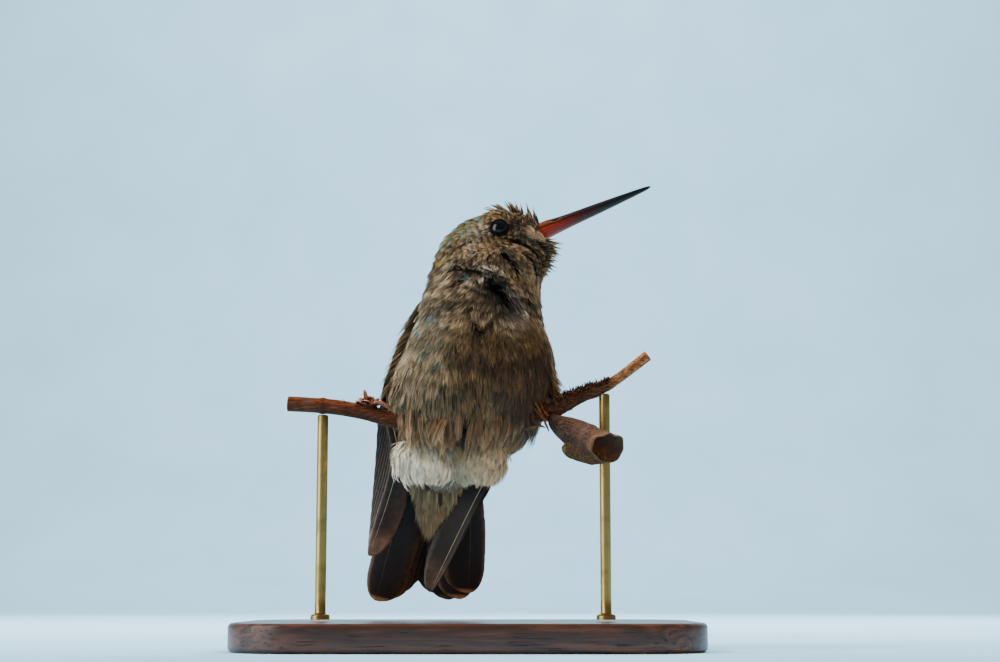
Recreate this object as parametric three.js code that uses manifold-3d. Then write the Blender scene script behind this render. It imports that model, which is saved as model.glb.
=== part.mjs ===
// A female broad-billed hummingbird as a still, life-size display model: fluffed up on a short cut
// length of dry vine, head turned to its left, on a flat wooden base with two brass rods.
// Millimetres, +Z up, belly towards -Y, origin at the middle of the underside of the base.
// The bird's right side lies towards -X.

import * as THREE from 'three';
import { mergeVertices } from 'three/addons/utils/BufferGeometryUtils.js';
import Module from 'manifold-3d';

// ---------------------------------------------------------------- driving dimensions

const GAP = 0.3; // air kept between neighbouring pieces

// Stand
const BASE_LENGTH = 76;
const BASE_DEPTH = 50;
const BASE_THICKNESS = 4.6;
const BASE_CORNER = 12;
const BASE_CHAMFER = 0.8;
const ROD_RADIUS = 0.9;
const ROD_X = { left: -24.5, right: 22.5 };

// Trunk: level rings from the top of the throat down to the vent, each
// [height, middle x, middle y, half width, half depth], with the feathers counted in
const TRUNK_TOP = [69.7, 5.6, -2.4];
const TRUNK = [
  [69.1, 5.6, -2.4, 4.6, 3.2],
  [68.0, 5.1, -2.4, 8.4, 5.5],
  [66.3, 4.1, -2.2, 9.7, 6.9],
  [64.0, 3.1, -1.9, 10.2, 7.8],
  [61.0, 2.4, -1.7, 10.1, 8.5],
  [57.5, 1.8, -1.5, 10.7, 9.6],
  [53.5, 1.5, -1.5, 11.4, 10.5],
  [48.3, 1.3, -1.4, 13.0, 11.0],
  [43.2, 0.9, -1.2, 13.6, 11.0],
  [39.8, 0.1, -0.5, 13.0, 10.2],
  [36.4, -0.6, 0.6, 11.4, 9.0],
  [33.0, -2.0, 2.0, 9.4, 7.4],
  [29.7, -3.3, 3.9, 6.8, 5.4],
  [27.2, -3.9, 5.4, 4.4, 3.7],
  [25.6, -4.2, 6.4, 2.2, 1.9],
];
const TRUNK_END = [25.0, -4.3, 6.7];
const TRUNK_SIDES = 28;
const HEAD_CUT = 64.1; // level of the parting between head and neck
const NECK_CUT = 57.3; // level of the parting between neck and torso

// Gap under the belly feathers that the perch and the feet pass through
const BELLY_GAP = { front: -6.3, back: -0.1, top: 41.2, shoulder: 1.4 };

// Head: rings along the line of the bill, each
// [distance behind the bill's root, lift towards the crown, half height, half width]
const BILL_ROOT = new THREE.Vector3(12.4, -3.0, 70.0);
const BILL_TIP = new THREE.Vector3(30.5, -5.7, 77.1);
const HEAD_ROLL = 25; // degrees that the throat is turned to the front
const HEAD_FRONT = [-1.0, 0.3];
const HEAD = [
  [-0.6, 0.3, 1.7, 1.8],
  [0.6, 0.6, 3.2, 3.0],
  [2.2, 0.9, 4.6, 4.1],
  [4.5, 1.2, 5.7, 5.0],
  [7.5, 1.3, 6.4, 5.6],
  [10.5, 1.0, 6.7, 5.9],
  [13.5, 0.4, 6.5, 6.0],
  [16.5, -0.7, 5.6, 5.4],
  [19.0, -1.8, 3.9, 4.0],
  [20.3, -2.3, 2.0, 2.0],
];
const HEAD_BACK = [20.8, -2.4];
const HEAD_SIDES = 22;

// Eyes and lids
const EYE_RADIUS = 1.75;
const EYE_PLACE = { back: 6.6, up: 0.7, out: 4.05 }; // from the bill's root, along the head's own axes
const LID = { height: 1.66, rim: 1.5, foot: 2.0 }; // a low cone about the eye, opened by its socket

// Erect feathers of the forehead, in rows from the bill back, and those of the throat
const FOREHEAD = { rows: [0.9, 2.8, 4.9], across: [1.0, 1.7, 2.2], rise: [1.9, 2.0, 1.3], count: 4 };
const THROAT = {
  roots: [[12.2, -5.2, 68.6], [11.6, -6.3, 66.2]],
  tips: [[14.9, -6.4, 68.1], [13.8, -7.7, 64.9]],
  count: 5,
};

// Bill: [distance before its root, half width, half height]
const BILL = [
  [-1.8, 1.25, 1.1],
  [0.0, 1.65, 1.4],
  [2.0, 1.5, 1.3],
  [5.0, 1.22, 1.12],
  [10.0, 0.92, 0.86],
  [15.0, 0.6, 0.56],
  [18.5, 0.3, 0.3],
];
const BILL_END = { inside: 0.4, tip: 0.1 }; // where each half closes, away from the line of the mouth
const MOUTH_DROP = 0.1; // how far the line of the mouth lies under the bill's middle
const NOSTRIL = { from: 1.6, to: 3.6, height: 0.42, up: 0.45, out: [1.75, 1.45] };

// Perch: a dry vine stem, [x, y, height of its middle, radius]
const PERCH = [
  [-30.4, -2.4, 41.2, 1.32],
  [-23.3, -2.8, 40.7, 1.35],
  [-17.5, -3.1, 39.6, 1.4],
  [-12.4, -3.2, 38.0, 1.4],
  [-6.6, -3.2, 37.1, 1.35],
  [1.8, -3.2, 37.4, 1.3],
  [9.3, -3.2, 38.3, 1.35],
  [13.8, -3.4, 40.2, 1.75],
  [18.5, -3.7, 42.7, 1.45],
  [23.5, -4.0, 44.8, 1.05],
  [29.8, -4.4, 49.2, 0.85],
];
const PERCH_SIDES = 10;
const PERCH_STEPS = 30;

// Dead leaf hanging from the knot: a cup, [x, y, z, half width, half height] along its middle
const LEAF = [
  [13.6, -5.7, 36.9, 0.7, 0.6],
  [15.2, -6.0, 36.2, 1.7, 1.3],
  [17.4, -6.6, 35.2, 2.6, 1.9],
  [20.2, -7.8, 34.0, 3.1, 2.3],
  [22.6, -9.2, 33.0, 3.4, 2.6],
];
const LEAF_WALL = 0.55;

// Dry bud on the left of the perch: points of its scales, [x, y, z]
const BUD_FOOT = new THREE.Vector3(-17.1, -3.2, 41.2);
const BUD_RADIUS = 0.85;
const BUD_SCALE = [0.6, 0.2]; // radius of a scale at its root and tip
const BUD_TIPS = [
  [-19.4, -3.7, 42.5], [-18.0, -2.8, 43.4], [-16.6, -3.3, 43.6], [-15.0, -3.0, 42.9], [-17.3, -4.8, 42.6],
];

// Feet: where each stands along the perch
const FOOT_X = { right: -6.4, left: 9.6 };
const TOE_RADIUS = 0.46;
const TOE_CLEAR = TOE_RADIUS + GAP + 0.04; // from the perch's surface to the middle of a toe
const TOE_SPREAD = 1.15;
const TOE_STEPS = 7;
const CLAW_FROM = 0.7; // share of a toe's length where its claw starts
const CLAW_TIP_RADIUS = 0.12;
const SHANK_RADIUS = 0.62;
const SHANK_TOP = [0.7, 42.4]; // y and height of the end of the shank, inside its bore

// Shares of a feather's length at which its outline is set
const VANE_STEPS = [0, 0.4, 0.8, 1];
const LONG_STEPS = [0, 0.35, 0.7, 0.92, 1];
const LOCK_STEPS = [0, 0.5, 1];

// Wings. Pairs run from the leading edge to the back; angles go round the trunk from its side.
// The left wing lies further round towards the back, by its turn.
const PRIMARY_COUNT = 10;
const PRIMARY_WIDTH = [5.0, 4.2];
const PRIMARY_ROOT = { level: [52.5, 50.5], angle: [14, 36], lift: [1.0, 1.6] };
const PRIMARY_BEND = { level: [42.8, 45.5], angle: [15, 37], lift: [2.3, 3.2] };
const WINGS = {
  right: {
    hand: -1,
    turn: 0,
    low: [[-12.7, 5.2, 31.4], [-15.2, 7.4, 41.0]],
    tip: [[-17.5, 9.6, 15.6], [-15.7, 8.8, 36.5]],
    edges: [[0.25, 0.97, 0], [0.98, 0.2, 0], [0.6, 0.8, 0]],
  },
  left: {
    hand: 1,
    turn: 22,
    low: [[4.2, 5.5, 30.2], [10.6, 8.8, 40.6]],
    tip: [[-7.0, 10.4, 9.4], [7.4, 8.9, 35.0]],
    edges: [[-0.55, 0.83, 0], [-0.98, 0.2, 0], [-0.8, 0.6, 0]],
  },
};
const SECONDARIES = {
  count: 5,
  angles: [[32, 56], [36, 60], [40, 60]],
  levels: [[52.5, 54.5], [46, 48.5], [37.5, 42]],
  lifts: [[1.8, 1.2], [3.0, 1.7], [3.4, 1.6]],
  width: [5.0, 5.0],
};
const GREATER_COVERTS = {
  count: 6,
  angles: [[12, 56], [14, 60], [16, 62]],
  levels: [[55, 56.5], [50.5, 52.5], [46, 48.5]],
  lifts: [[1.2, 1.6], [1.9, 2.3], [2.5, 2.4]],
  width: [3.8, 4.0],
};
const MEDIAN_COVERTS = {
  count: 5,
  angles: [[13, 54], [14, 58], [15, 60]],
  levels: [[57, 57.5], [54, 55], [51, 52.5]],
  lifts: [[0.9, 1.2], [1.9, 2.4], [2.5, 2.9]],
  width: [3.6, 3.8],
};
const WING_ARM = { angles: [10, 64], levels: [60, 48.5], rim: 0.7, rise: 1.3 };

// Tail: tips of its ten feathers from the right to the left side of the bird, [x, z]
const TAIL_TIPS = [
  [-16.3, 8.0], [-15.2, 8.6], [-14.0, 9.5], [-12.7, 10.7], [-11.4, 12.1],
  [-7.6, 10.4], [-6.0, 8.9], [-4.2, 8.0], [-2.3, 8.3], [-0.9, 9.6],
];
const TAIL_ROOT = { left: -7.4, right: -2.2, y: 8.9, z: 33 };
const TAIL_END_Y = 14.7;
const TAIL_LAYER = 0.38;
const TAIL_BOW = 1.0;
const TAIL_WIDTH = 7.4;

// Rows of short feathers over and under the tail: the two ends of each row's roots and of its tips,
// how much lower the middle tips hang, and how far the feathers bulge towards the belly
const UPPER_TAIL_COVERTS = [
  {
    count: 4,
    roots: [[-7.2, 9.2, 34], [-2.0, 9.2, 34]],
    tips: [[-9.6, 14.2, 23.0], [-2.2, 14.2, 23.0]],
    drop: 1.5,
    width: 4.6,
    bulge: -0.8,
  },
  {
    count: 5,
    roots: [[-7.4, 8.6, 36], [-0.6, 8.6, 36]],
    tips: [[-9.0, 13.4, 27.5], [-0.6, 13.4, 27.5]],
    drop: 1.2,
    width: 4.0,
    bulge: -1.0,
  },
];

// The row nearest to the tail comes first; the core is a blade along its points
const COVERTS_CORE = {
  line: [[-4.6, 5.6, 31], [-5.4, 8.2, 26], [-6.4, 10.4, 21]],
  width: [8, 3],
  thickness: [2.6, 0.8],
};
const UNDERTAIL_COVERTS = [
  {
    count: 3,
    roots: [[-6.6, 7.6, 27], [-4.4, 7.6, 27]],
    tips: [[-8.0, 10.8, 19.2], [-5.6, 10.8, 19.2]],
    drop: 1.2,
    width: 3.4,
    bulge: 0.3,
  },
  {
    count: 4,
    roots: [[-7.2, 6.6, 28.5], [-3.2, 6.6, 28.5]],
    tips: [[-9.4, 10.2, 21.6], [-5.5, 10.2, 21.6]],
    drop: 0.8,
    width: 3.4,
    bulge: 0.3,
  },
  {
    count: 5,
    roots: [[-7.6, 4.8, 30], [-2.2, 4.8, 30]],
    tips: [[-9.2, 8.9, 24.2], [-4.5, 8.9, 24.2]],
    drop: 0.8,
    width: 3.2,
    bulge: 0.3,
  },
];

// Puffs of down below the belly, in front of the thighs
const TUFTS = {
  right: { middle: [-7.4, -3.0, 30.9], size: [4.8, 3.0, 3.2] },
  left: { middle: [1.7, -2.9, 30.3], size: [5.0, 3.0, 3.3] },
};
const TUFT_PARTING = -3.4; // x between the two puffs
const TUFT_LOCKS = { count: 6, from: 195, to: 345, width: 2.7, tip: 0.5, thickness: 1.0 };
const TUFT_ROWS = [
  { front: 0.25, reach: 1.22 },
  { front: 0.75, reach: 1.02 },
];

// Colours
const COLOURS = {
  plumage: 0x8d8377, crown: 0x7c735c, down: 0xe9e4da, wing: 0x4d443d, tail: 0x1f1c1c,
  coverts: 0x857b68, bill: 0x2b2828, billRed: 0xa8402c, eye: 0x0c0b0c, foot: 0x5f4a3a,
  stem: 0x7a4a2a, leaf: 0x6f5346, bud: 0x7d4431, wood: 0x4b2f20, brass: 0xb08d4f,
};

// ---------------------------------------------------------------- solids from grids of points

const wasm = await Module();
wasm.setup();

const rad = THREE.MathUtils.degToRad;
const mix = THREE.MathUtils.lerp;
const vec = (list) => new THREE.Vector3(list[0], list[1], list[2]);

// Volume inside a triangle mesh, negative when it is inside out.
function signedVolume(points, index) {
  const [a, b, c] = [new THREE.Vector3(), new THREE.Vector3(), new THREE.Vector3()];
  let sum = 0;
  for (let i = 0; i < index.length; i += 3) {
    a.fromArray(points, 3 * index[i]);
    b.fromArray(points, 3 * index[i + 1]);
    c.fromArray(points, 3 * index[i + 2]);
    sum += a.dot(b.cross(c)) / 6;
  }
  return sum;
}

// A closed geometry as a solid, turned right side out.
function solidOf(geometry) {
  const plain = geometry.clone();
  plain.deleteAttribute('normal');
  plain.deleteAttribute('uv');
  const merged = mergeVertices(plain, 1e-5);
  const vertProperties = Float32Array.from(merged.attributes.position.array);
  const triVerts = Uint32Array.from(merged.index.array);
  if (signedVolume(vertProperties, triVerts) < 0) {
    for (let i = 0; i < triVerts.length; i += 3) {
      [triVerts[i], triVerts[i + 1]] = [triVerts[i + 1], triVerts[i]];
    }
  }
  return new wasm.Manifold(new wasm.Mesh({ numProp: 3, vertProperties, triVerts }));
}

function joined(solids) {
  return solids.reduce((whole, next) => whole.add(next));
}

// The largest closed surface of a solid.
function largest(solid) {
  const pieces = solid.decompose();
  return pieces.reduce((best, next) => (next.volume() > best.volume() ? next : best));
}

function geometryOf(solid) {
  const mesh = solid.getMesh();
  const geometry = new THREE.BufferGeometry();
  const count = mesh.vertProperties.length / mesh.numProp;
  const points = new Float32Array(3 * count);
  for (let i = 0; i < count; i += 1) {
    for (let k = 0; k < 3; k += 1) points[3 * i + k] = mesh.vertProperties[mesh.numProp * i + k];
  }
  geometry.setAttribute('position', new THREE.BufferAttribute(points, 3));
  geometry.setIndex(Array.from(mesh.triVerts));
  return geometry;
}

// A skin over rings of equal count, closed by a point at each end.
function loft(rings, startPoint, endPoint) {
  const sides = rings[0].length;
  const points = [...rings.flat(), startPoint, endPoint];
  const index = [];
  const start = rings.length * sides;
  for (let r = 0; r < rings.length - 1; r += 1) {
    for (let k = 0; k < sides; k += 1) {
      const a = r * sides + k;
      const b = r * sides + ((k + 1) % sides);
      index.push(a, b, a + sides, b, b + sides, a + sides);
    }
  }
  for (let k = 0; k < sides; k += 1) {
    const next = (k + 1) % sides;
    const last = (rings.length - 1) * sides;
    index.push(start, next, k, start + 1, last + k, last + next);
  }
  const geometry = new THREE.BufferGeometry().setFromPoints(points);
  geometry.setIndex(index);
  return geometry;
}

// An ellipse of points about a middle, in the plane of two unit directions.
function ring(middle, across, up, halfAcross, halfUp, sides) {
  const points = [];
  for (let k = 0; k < sides; k += 1) {
    const angle = (2 * Math.PI * k) / sides;
    points.push(middle.clone()
      .addScaledVector(across, halfAcross * Math.cos(angle))
      .addScaledVector(up, halfUp * Math.sin(angle)));
  }
  return points;
}

// A round tapering rod along a curve; radius is a function of the share of its length.
function taperedRod(curve, radius, steps, sides) {
  const frames = curve.computeFrenetFrames(steps, false);
  const rings = [];
  for (let i = 0; i <= steps; i += 1) {
    const size = radius(i / steps);
    const middle = curve.getPointAt(i / steps);
    rings.push(ring(middle, frames.normals[i], frames.binormals[i], size, size, sides));
  }
  return loft(rings, curve.getPointAt(0), curve.getPointAt(1));
}

function smoothCurve(points) {
  return new THREE.CatmullRomCurve3(points, false, 'centripetal');
}

// A thin feather or lock: a blade along a curve. `edge` gives the unit direction from the shaft to
// the trailing edge, `lead` the share of the width before the shaft. Both faces are split alike.
function vane({
  curve, edge, width, lead = 0.5, thickness = 0.55, tipThickness = 0.35, steps = VANE_STEPS,
}) {
  const upper = [];
  const lower = [];
  for (const share of steps) {
    const middle = curve.getPoint(share);
    const along = curve.getTangent(share).normalize();
    const side = edge(share).addScaledVector(along, -edge(share).dot(along)).normalize();
    const face = new THREE.Vector3().crossVectors(along, side);
    const half = mix(thickness, tipThickness, share) / 2;
    for (const offset of [-lead * width(share), (1 - lead) * width(share)]) {
      const point = middle.clone().addScaledVector(side, offset);
      upper.push(point.clone().addScaledVector(face, half));
      lower.push(point.clone().addScaledVector(face, -half));
    }
  }
  const rows = steps.length;
  const below = upper.length;
  const index = [];
  for (let r = 0; r < rows - 1; r += 1) {
    const a = 2 * r;
    const b = below + a;
    index.push(a, a + 1, a + 2, a + 1, a + 3, a + 2);
    index.push(b, b + 2, b + 1, b + 1, b + 2, b + 3);
  }
  const rim = [];
  for (let r = 0; r < rows; r += 1) rim.push(2 * r + 1);
  for (let r = rows - 1; r >= 0; r -= 1) rim.push(2 * r);
  rim.forEach((a, i) => {
    const b = rim[(i + 1) % rim.length];
    index.push(a, below + b, b, a, below + a, below + b);
  });
  const geometry = new THREE.BufferGeometry().setFromPoints([...upper, ...lower]);
  geometry.setIndex(index);
  return solidOf(geometry);
}

// Width of a feather along its length: a narrow root, full from a third on, a rounded tip.
function featherWidth(full, tip = 0.3) {
  return (share) => {
    const root = Math.min(1, 0.45 + 1.8 * share);
    const end = share < 0.7 ? 1 : Math.sqrt(Math.max(0, 1 - ((share - 0.7) / 0.3) ** 2));
    return full * root * Math.max(tip, end);
  };
}

// A box solid between two corners.
function boxBetween(low, high) {
  const size = high.clone().sub(low);
  const box = new THREE.BoxGeometry(size.x, size.y, size.z);
  box.translate((low.x + high.x) / 2, (low.y + high.y) / 2, (low.z + high.z) / 2);
  return solidOf(box);
}

const FAR = 120; // beyond every piece

// The part of a solid between two levels.
function between(solid, low, high) {
  return solid.intersect(boxBetween(vec([-FAR, -FAR, low]), vec([FAR, FAR, high])));
}

// ---------------------------------------------------------------- trunk and head

// Middle and half sizes of the trunk at a level, on a smooth curve through its rings.
function trunkAt(z) {
  const next = TRUNK.findIndex((station) => station[0] <= z);
  if (next === 0) return TRUNK[0].slice(1);
  if (next < 0) return TRUNK[TRUNK.length - 1].slice(1);
  const ringAt = (i) => TRUNK[THREE.MathUtils.clamp(i, 0, TRUNK.length - 1)];
  const near = [next - 2, next - 1, next, next + 1].map(ringAt);
  const [, high, low] = near;
  const share = (high[0] - z) / (high[0] - low[0]);
  const slope = (k, i) => {
    const [before, after] = [near[i - 1], near[i + 1]];
    return ((after[k] - before[k]) / (before[0] - after[0])) * (high[0] - low[0]);
  };
  return [1, 2, 3, 4].map((k) => {
    const [p, q, m, n] = [high[k], low[k], slope(k, 1), slope(k, 2)];
    return p * (1 + 2 * share) * (1 - share) ** 2 + m * share * (1 - share) ** 2
      + q * share ** 2 * (3 - 2 * share) + n * share ** 2 * (share - 1);
  });
}

// A point outside the trunk at a level: `angle` is 0 at the bird's side and 90 at its back.
function onTrunk(hand, z, angle, lift) {
  const [x, y, halfX, halfY] = trunkAt(z);
  const turned = rad(angle);
  return vec([x + hand * (halfX + lift) * Math.cos(turned), y + (halfY + lift) * Math.sin(turned), z]);
}

function trunkSolid(grow) {
  const across = vec([1, 0, 0]);
  const back = vec([0, 1, 0]);
  const long = (i) => i > 2 && i < TRUNK.length - 3; // stretches with a ring half way
  const levels = TRUNK.flatMap(([z], i) => (long(i) ? [z, (z + TRUNK[i + 1][0]) / 2] : [z]));
  const rings = levels.map((z) => {
    const [x, y, halfX, halfY] = trunkAt(z);
    return ring(vec([x, y, z]), across, back, halfX + grow, halfY + grow, TRUNK_SIDES);
  });
  const top = vec([TRUNK_TOP[1], TRUNK_TOP[2], TRUNK_TOP[0] + grow]);
  const end = vec([TRUNK_END[1], TRUNK_END[2], TRUNK_END[0] - grow]);
  return solidOf(loft(rings, top, end));
}

// The head's own axes: forward along the bill, up to the crown, and to its right side.
function headAxes() {
  const forward = BILL_TIP.clone().sub(BILL_ROOT).normalize();
  const level = vec([0, 0, 1]).addScaledVector(forward, -forward.z).normalize();
  const side = new THREE.Vector3().crossVectors(forward, level);
  const roll = rad(HEAD_ROLL);
  const right = side.clone().multiplyScalar(Math.cos(roll)).addScaledVector(level, Math.sin(roll));
  const up = level.clone().multiplyScalar(Math.cos(roll)).addScaledVector(side, -Math.sin(roll));
  return { forward, up, right };
}

const AXES = headAxes();

// A point given from the bill's root along the head's own axes.
function headPoint(ahead, up, right) {
  return BILL_ROOT.clone()
    .addScaledVector(AXES.forward, ahead)
    .addScaledVector(AXES.up, up)
    .addScaledVector(AXES.right, right);
}

function headSolid() {
  const rings = HEAD.map(([behind, lift, halfUp, halfRight]) => (
    ring(headPoint(-behind, lift, 0), AXES.right, AXES.up, halfRight, halfUp, HEAD_SIDES)
  ));
  const front = headPoint(-HEAD_FRONT[0], HEAD_FRONT[1], 0);
  const back = headPoint(-HEAD_BACK[0], HEAD_BACK[1], 0);
  return solidOf(loft(rings, front, back));
}

// Middle lift, half height and half width of the head at a distance behind the bill's root.
function headAt(behind) {
  const next = Math.max(1, HEAD.findIndex((station) => station[0] >= behind));
  const [low, high] = [HEAD[next - 1], HEAD[next]];
  const share = (behind - low[0]) / (high[0] - low[0]);
  return [1, 2, 3].map((k) => mix(low[k], high[k], share));
}

// A flat lock from inside the head out to its tip.
function lock(root, tip, across, width) {
  const middle = root.clone().lerp(tip, 0.5).addScaledVector(AXES.up, 0.1);
  return vane({
    curve: smoothCurve([root, middle, tip]),
    edge: () => across.clone(),
    width: (share) => width * mix(1, 0.3, share ** 1.5),
    thickness: 0.7,
    tipThickness: 0.3,
    steps: LOCK_STEPS,
  });
}

// The forehead's feathers stand up and lean back, each row set between those of the row before.
function foreheadLocks() {
  return FOREHEAD.rows.flatMap((behind, row) => {
    const [lift, halfUp, halfRight] = headAt(behind);
    const locks = [];
    for (let i = 0; i < FOREHEAD.count; i += 1) {
      const place = (i + 0.5 * (row % 2) - 1.75) / 1.5;
      const right = FOREHEAD.across[row] * place;
      const top = lift + halfUp * Math.sqrt(1 - (right / halfRight) ** 2);
      const root = headPoint(-behind, top - 0.9, right * 0.8);
      const tip = headPoint(-behind - 1.1, top + FOREHEAD.rise[row], right * 1.25);
      locks.push(lock(root, tip, AXES.right, 1.5));
    }
    return locks;
  });
}

// The throat's feathers fan out below the bill.
function throatLocks() {
  const locks = [];
  for (let i = 0; i < THROAT.count; i += 1) {
    const share = i / (THROAT.count - 1);
    const root = vec(THROAT.roots[0]).lerp(vec(THROAT.roots[1]), share);
    const tip = vec(THROAT.tips[0]).lerp(vec(THROAT.tips[1]), share);
    tip.x -= 0.5 * (i % 2);
    locks.push(lock(root, tip, vec([0, -0.5, 0.87]), 2.0));
  }
  return locks;
}

function eyeMiddle(side) {
  return headPoint(-EYE_PLACE.back, EYE_PLACE.up, side * EYE_PLACE.out);
}

function ball(middle, radius, around, rows) {
  const sphere = new THREE.SphereGeometry(radius, around, rows);
  sphere.translate(middle.x, middle.y, middle.z);
  return solidOf(sphere);
}

// The lids: a low cone about the line of sight, standing a little out of the head.
function lidMound(side) {
  const sight = AXES.right.clone().multiplyScalar(side).addScaledVector(AXES.forward, 0.2).normalize();
  const cone = new THREE.CylinderGeometry(LID.rim, LID.foot, LID.height, 18);
  cone.applyQuaternion(new THREE.Quaternion().setFromUnitVectors(vec([0, 1, 0]), sight));
  const middle = eyeMiddle(side).addScaledVector(sight, LID.height / 2);
  cone.translate(middle.x, middle.y, middle.z);
  return solidOf(cone);
}

// ---------------------------------------------------------------- bill

// One half of the bill, above (+1) or below (-1) the line of the mouth.
function billHalf(half) {
  const arc = 8;
  const parting = -MOUTH_DROP + (half * GAP) / 2;
  const rings = BILL.map(([ahead, halfWidth, halfHeight]) => {
    const points = [];
    for (let k = 0; k <= arc; k += 1) {
      const angle = (Math.PI * k) / arc;
      const rise = halfHeight * Math.sin(angle);
      points.push(headPoint(ahead, parting + half * rise, halfWidth * Math.cos(angle)));
    }
    return points;
  });
  const inside = headPoint(BILL[0][0], parting + half * BILL_END.inside, 0);
  const tip = headPoint(BILL_TIP.distanceTo(BILL_ROOT), parting + half * BILL_END.tip, 0);
  return solidOf(loft(rings, inside, tip));
}

// The room that the head leaves for the root of the bill.
function billRoom() {
  const rings = BILL.slice(0, 4).map(([ahead, halfWidth, halfHeight], row) => {
    const middle = headPoint(row === 0 ? ahead - GAP : ahead, -MOUTH_DROP, 0);
    return ring(middle, AXES.right, AXES.up, halfWidth + 1.4 * GAP, halfHeight + 2 * GAP, 20);
  });
  const last = BILL[3][0];
  return solidOf(loft(rings, headPoint(BILL[0][0] - GAP, -MOUTH_DROP, 0), headPoint(last, -MOUTH_DROP, 0)));
}

function nostrilCut(side) {
  const { from, to, height, up, out } = NOSTRIL;
  const slot = smoothCurve([headPoint(from, up, side * out[0]), headPoint(to, up, side * out[1])]);
  return solidOf(taperedRod(slot, (share) => height * (0.5 + Math.sin(Math.PI * share)), 4, 6));
}

// ---------------------------------------------------------------- perch, bud and leaf

const PERCH_CURVE = smoothCurve(PERCH.map(vec));

// Radius of the perch at a place along x.
function perchRadius(x) {
  const next = PERCH.findIndex((station) => station[0] >= x);
  if (next <= 0) return next === 0 ? PERCH[0][3] : PERCH[PERCH.length - 1][3];
  const [low, high] = [PERCH[next - 1], PERCH[next]];
  return mix(low[3], high[3], (x - low[0]) / (high[0] - low[0]));
}

// Middle of the perch at a place along x.
function perchMiddle(x) {
  let [low, high] = [0, 1];
  for (let i = 0; i < 30; i += 1) {
    const half = (low + high) / 2;
    if (PERCH_CURVE.getPoint(half).x < x) low = half;
    else high = half;
  }
  return PERCH_CURVE.getPoint(low);
}

function perchSolid(grow) {
  const radius = (share) => perchRadius(PERCH_CURVE.getPointAt(share).x) + grow;
  return solidOf(taperedRod(PERCH_CURVE, radius, PERCH_STEPS, PERCH_SIDES));
}

function budSolid() {
  const scales = BUD_TIPS.map((tip) => {
    const end = vec(tip);
    const middle = BUD_FOOT.clone().lerp(end, 0.5).add(vec([0, 0, 0.2]));
    const curve = smoothCurve([BUD_FOOT.clone(), middle, end]);
    return solidOf(taperedRod(curve, (share) => mix(BUD_SCALE[0], BUD_SCALE[1], share), 2, 5));
  });
  return joined([ball(BUD_FOOT, BUD_RADIUS, 8, 5), ...scales]);
}

// The dead leaf: an outer and an inner skin that meet at the rim of the cup.
function leafSolid() {
  const middle = smoothCurve(LEAF.map(vec));
  const steps = LEAF.length - 1;
  const frames = middle.computeFrenetFrames(steps, false);
  const rings = [];
  const skin = (row, thin) => {
    const [, , , halfWidth, halfHeight] = LEAF[row];
    const across = new THREE.Vector3().crossVectors(frames.tangents[row], vec([0, 0, 1])).normalize();
    const up = new THREE.Vector3().crossVectors(across, frames.tangents[row]);
    return ring(vec(LEAF[row]), across, up, halfWidth - thin, halfHeight - thin, 14);
  };
  for (let row = 0; row <= steps; row += 1) rings.push(skin(row, 0));
  for (let row = steps; row >= 1; row -= 1) rings.push(skin(row, LEAF_WALL));
  const inside = vec(LEAF[1]).lerp(vec(LEAF[0]), 0.2);
  return solidOf(loft(rings, vec(LEAF[0]), inside));
}

// ---------------------------------------------------------------- legs

// A toe with its claw, bent round the perch from its top: `way` +1 to the front, -1 to the back.
function toe(x, fan, way, reach) {
  const points = [];
  for (let i = 0; i <= TOE_STEPS; i += 1) {
    const share = i / TOE_STEPS;
    const along = x + fan * Math.min(1, 1.4 * share);
    const middle = perchMiddle(along);
    const clear = perchRadius(along) + TOE_CLEAR;
    const angle = rad(90 - reach * share);
    points.push(vec([along, middle.y - way * clear * Math.cos(angle), middle.z + clear * Math.sin(angle)]));
  }
  const radius = (share) => (share < CLAW_FROM
    ? mix(TOE_RADIUS, TOE_RADIUS * 0.85, share / CLAW_FROM)
    : mix(TOE_RADIUS * 0.7, CLAW_TIP_RADIUS, (share - CLAW_FROM) / (1 - CLAW_FROM)));
  return solidOf(taperedRod(smoothCurve(points), radius, TOE_STEPS, 5));
}

function shank(x, grow) {
  const foot = perchMiddle(x);
  const low = vec([x, foot.y, foot.z + perchRadius(x) + GAP + TOE_RADIUS]);
  const high = vec([x, SHANK_TOP[0], SHANK_TOP[1] + grow]);
  const curve = smoothCurve([low, low.clone().lerp(high, 0.5).add(vec([0, 0.3, 0])), high]);
  return solidOf(taperedRod(curve, (share) => mix(SHANK_RADIUS, SHANK_RADIUS * 1.15, share) + grow, 3, 7));
}

function legSolid(x) {
  return joined([
    shank(x, 0),
    toe(x, -TOE_SPREAD, 1, 190),
    toe(x, 0.05, 1, 205),
    toe(x, TOE_SPREAD, 1, 190),
    toe(x, 0.1, -1, 120),
  ]);
}

// ---------------------------------------------------------------- wings, tail and tufts

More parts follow.
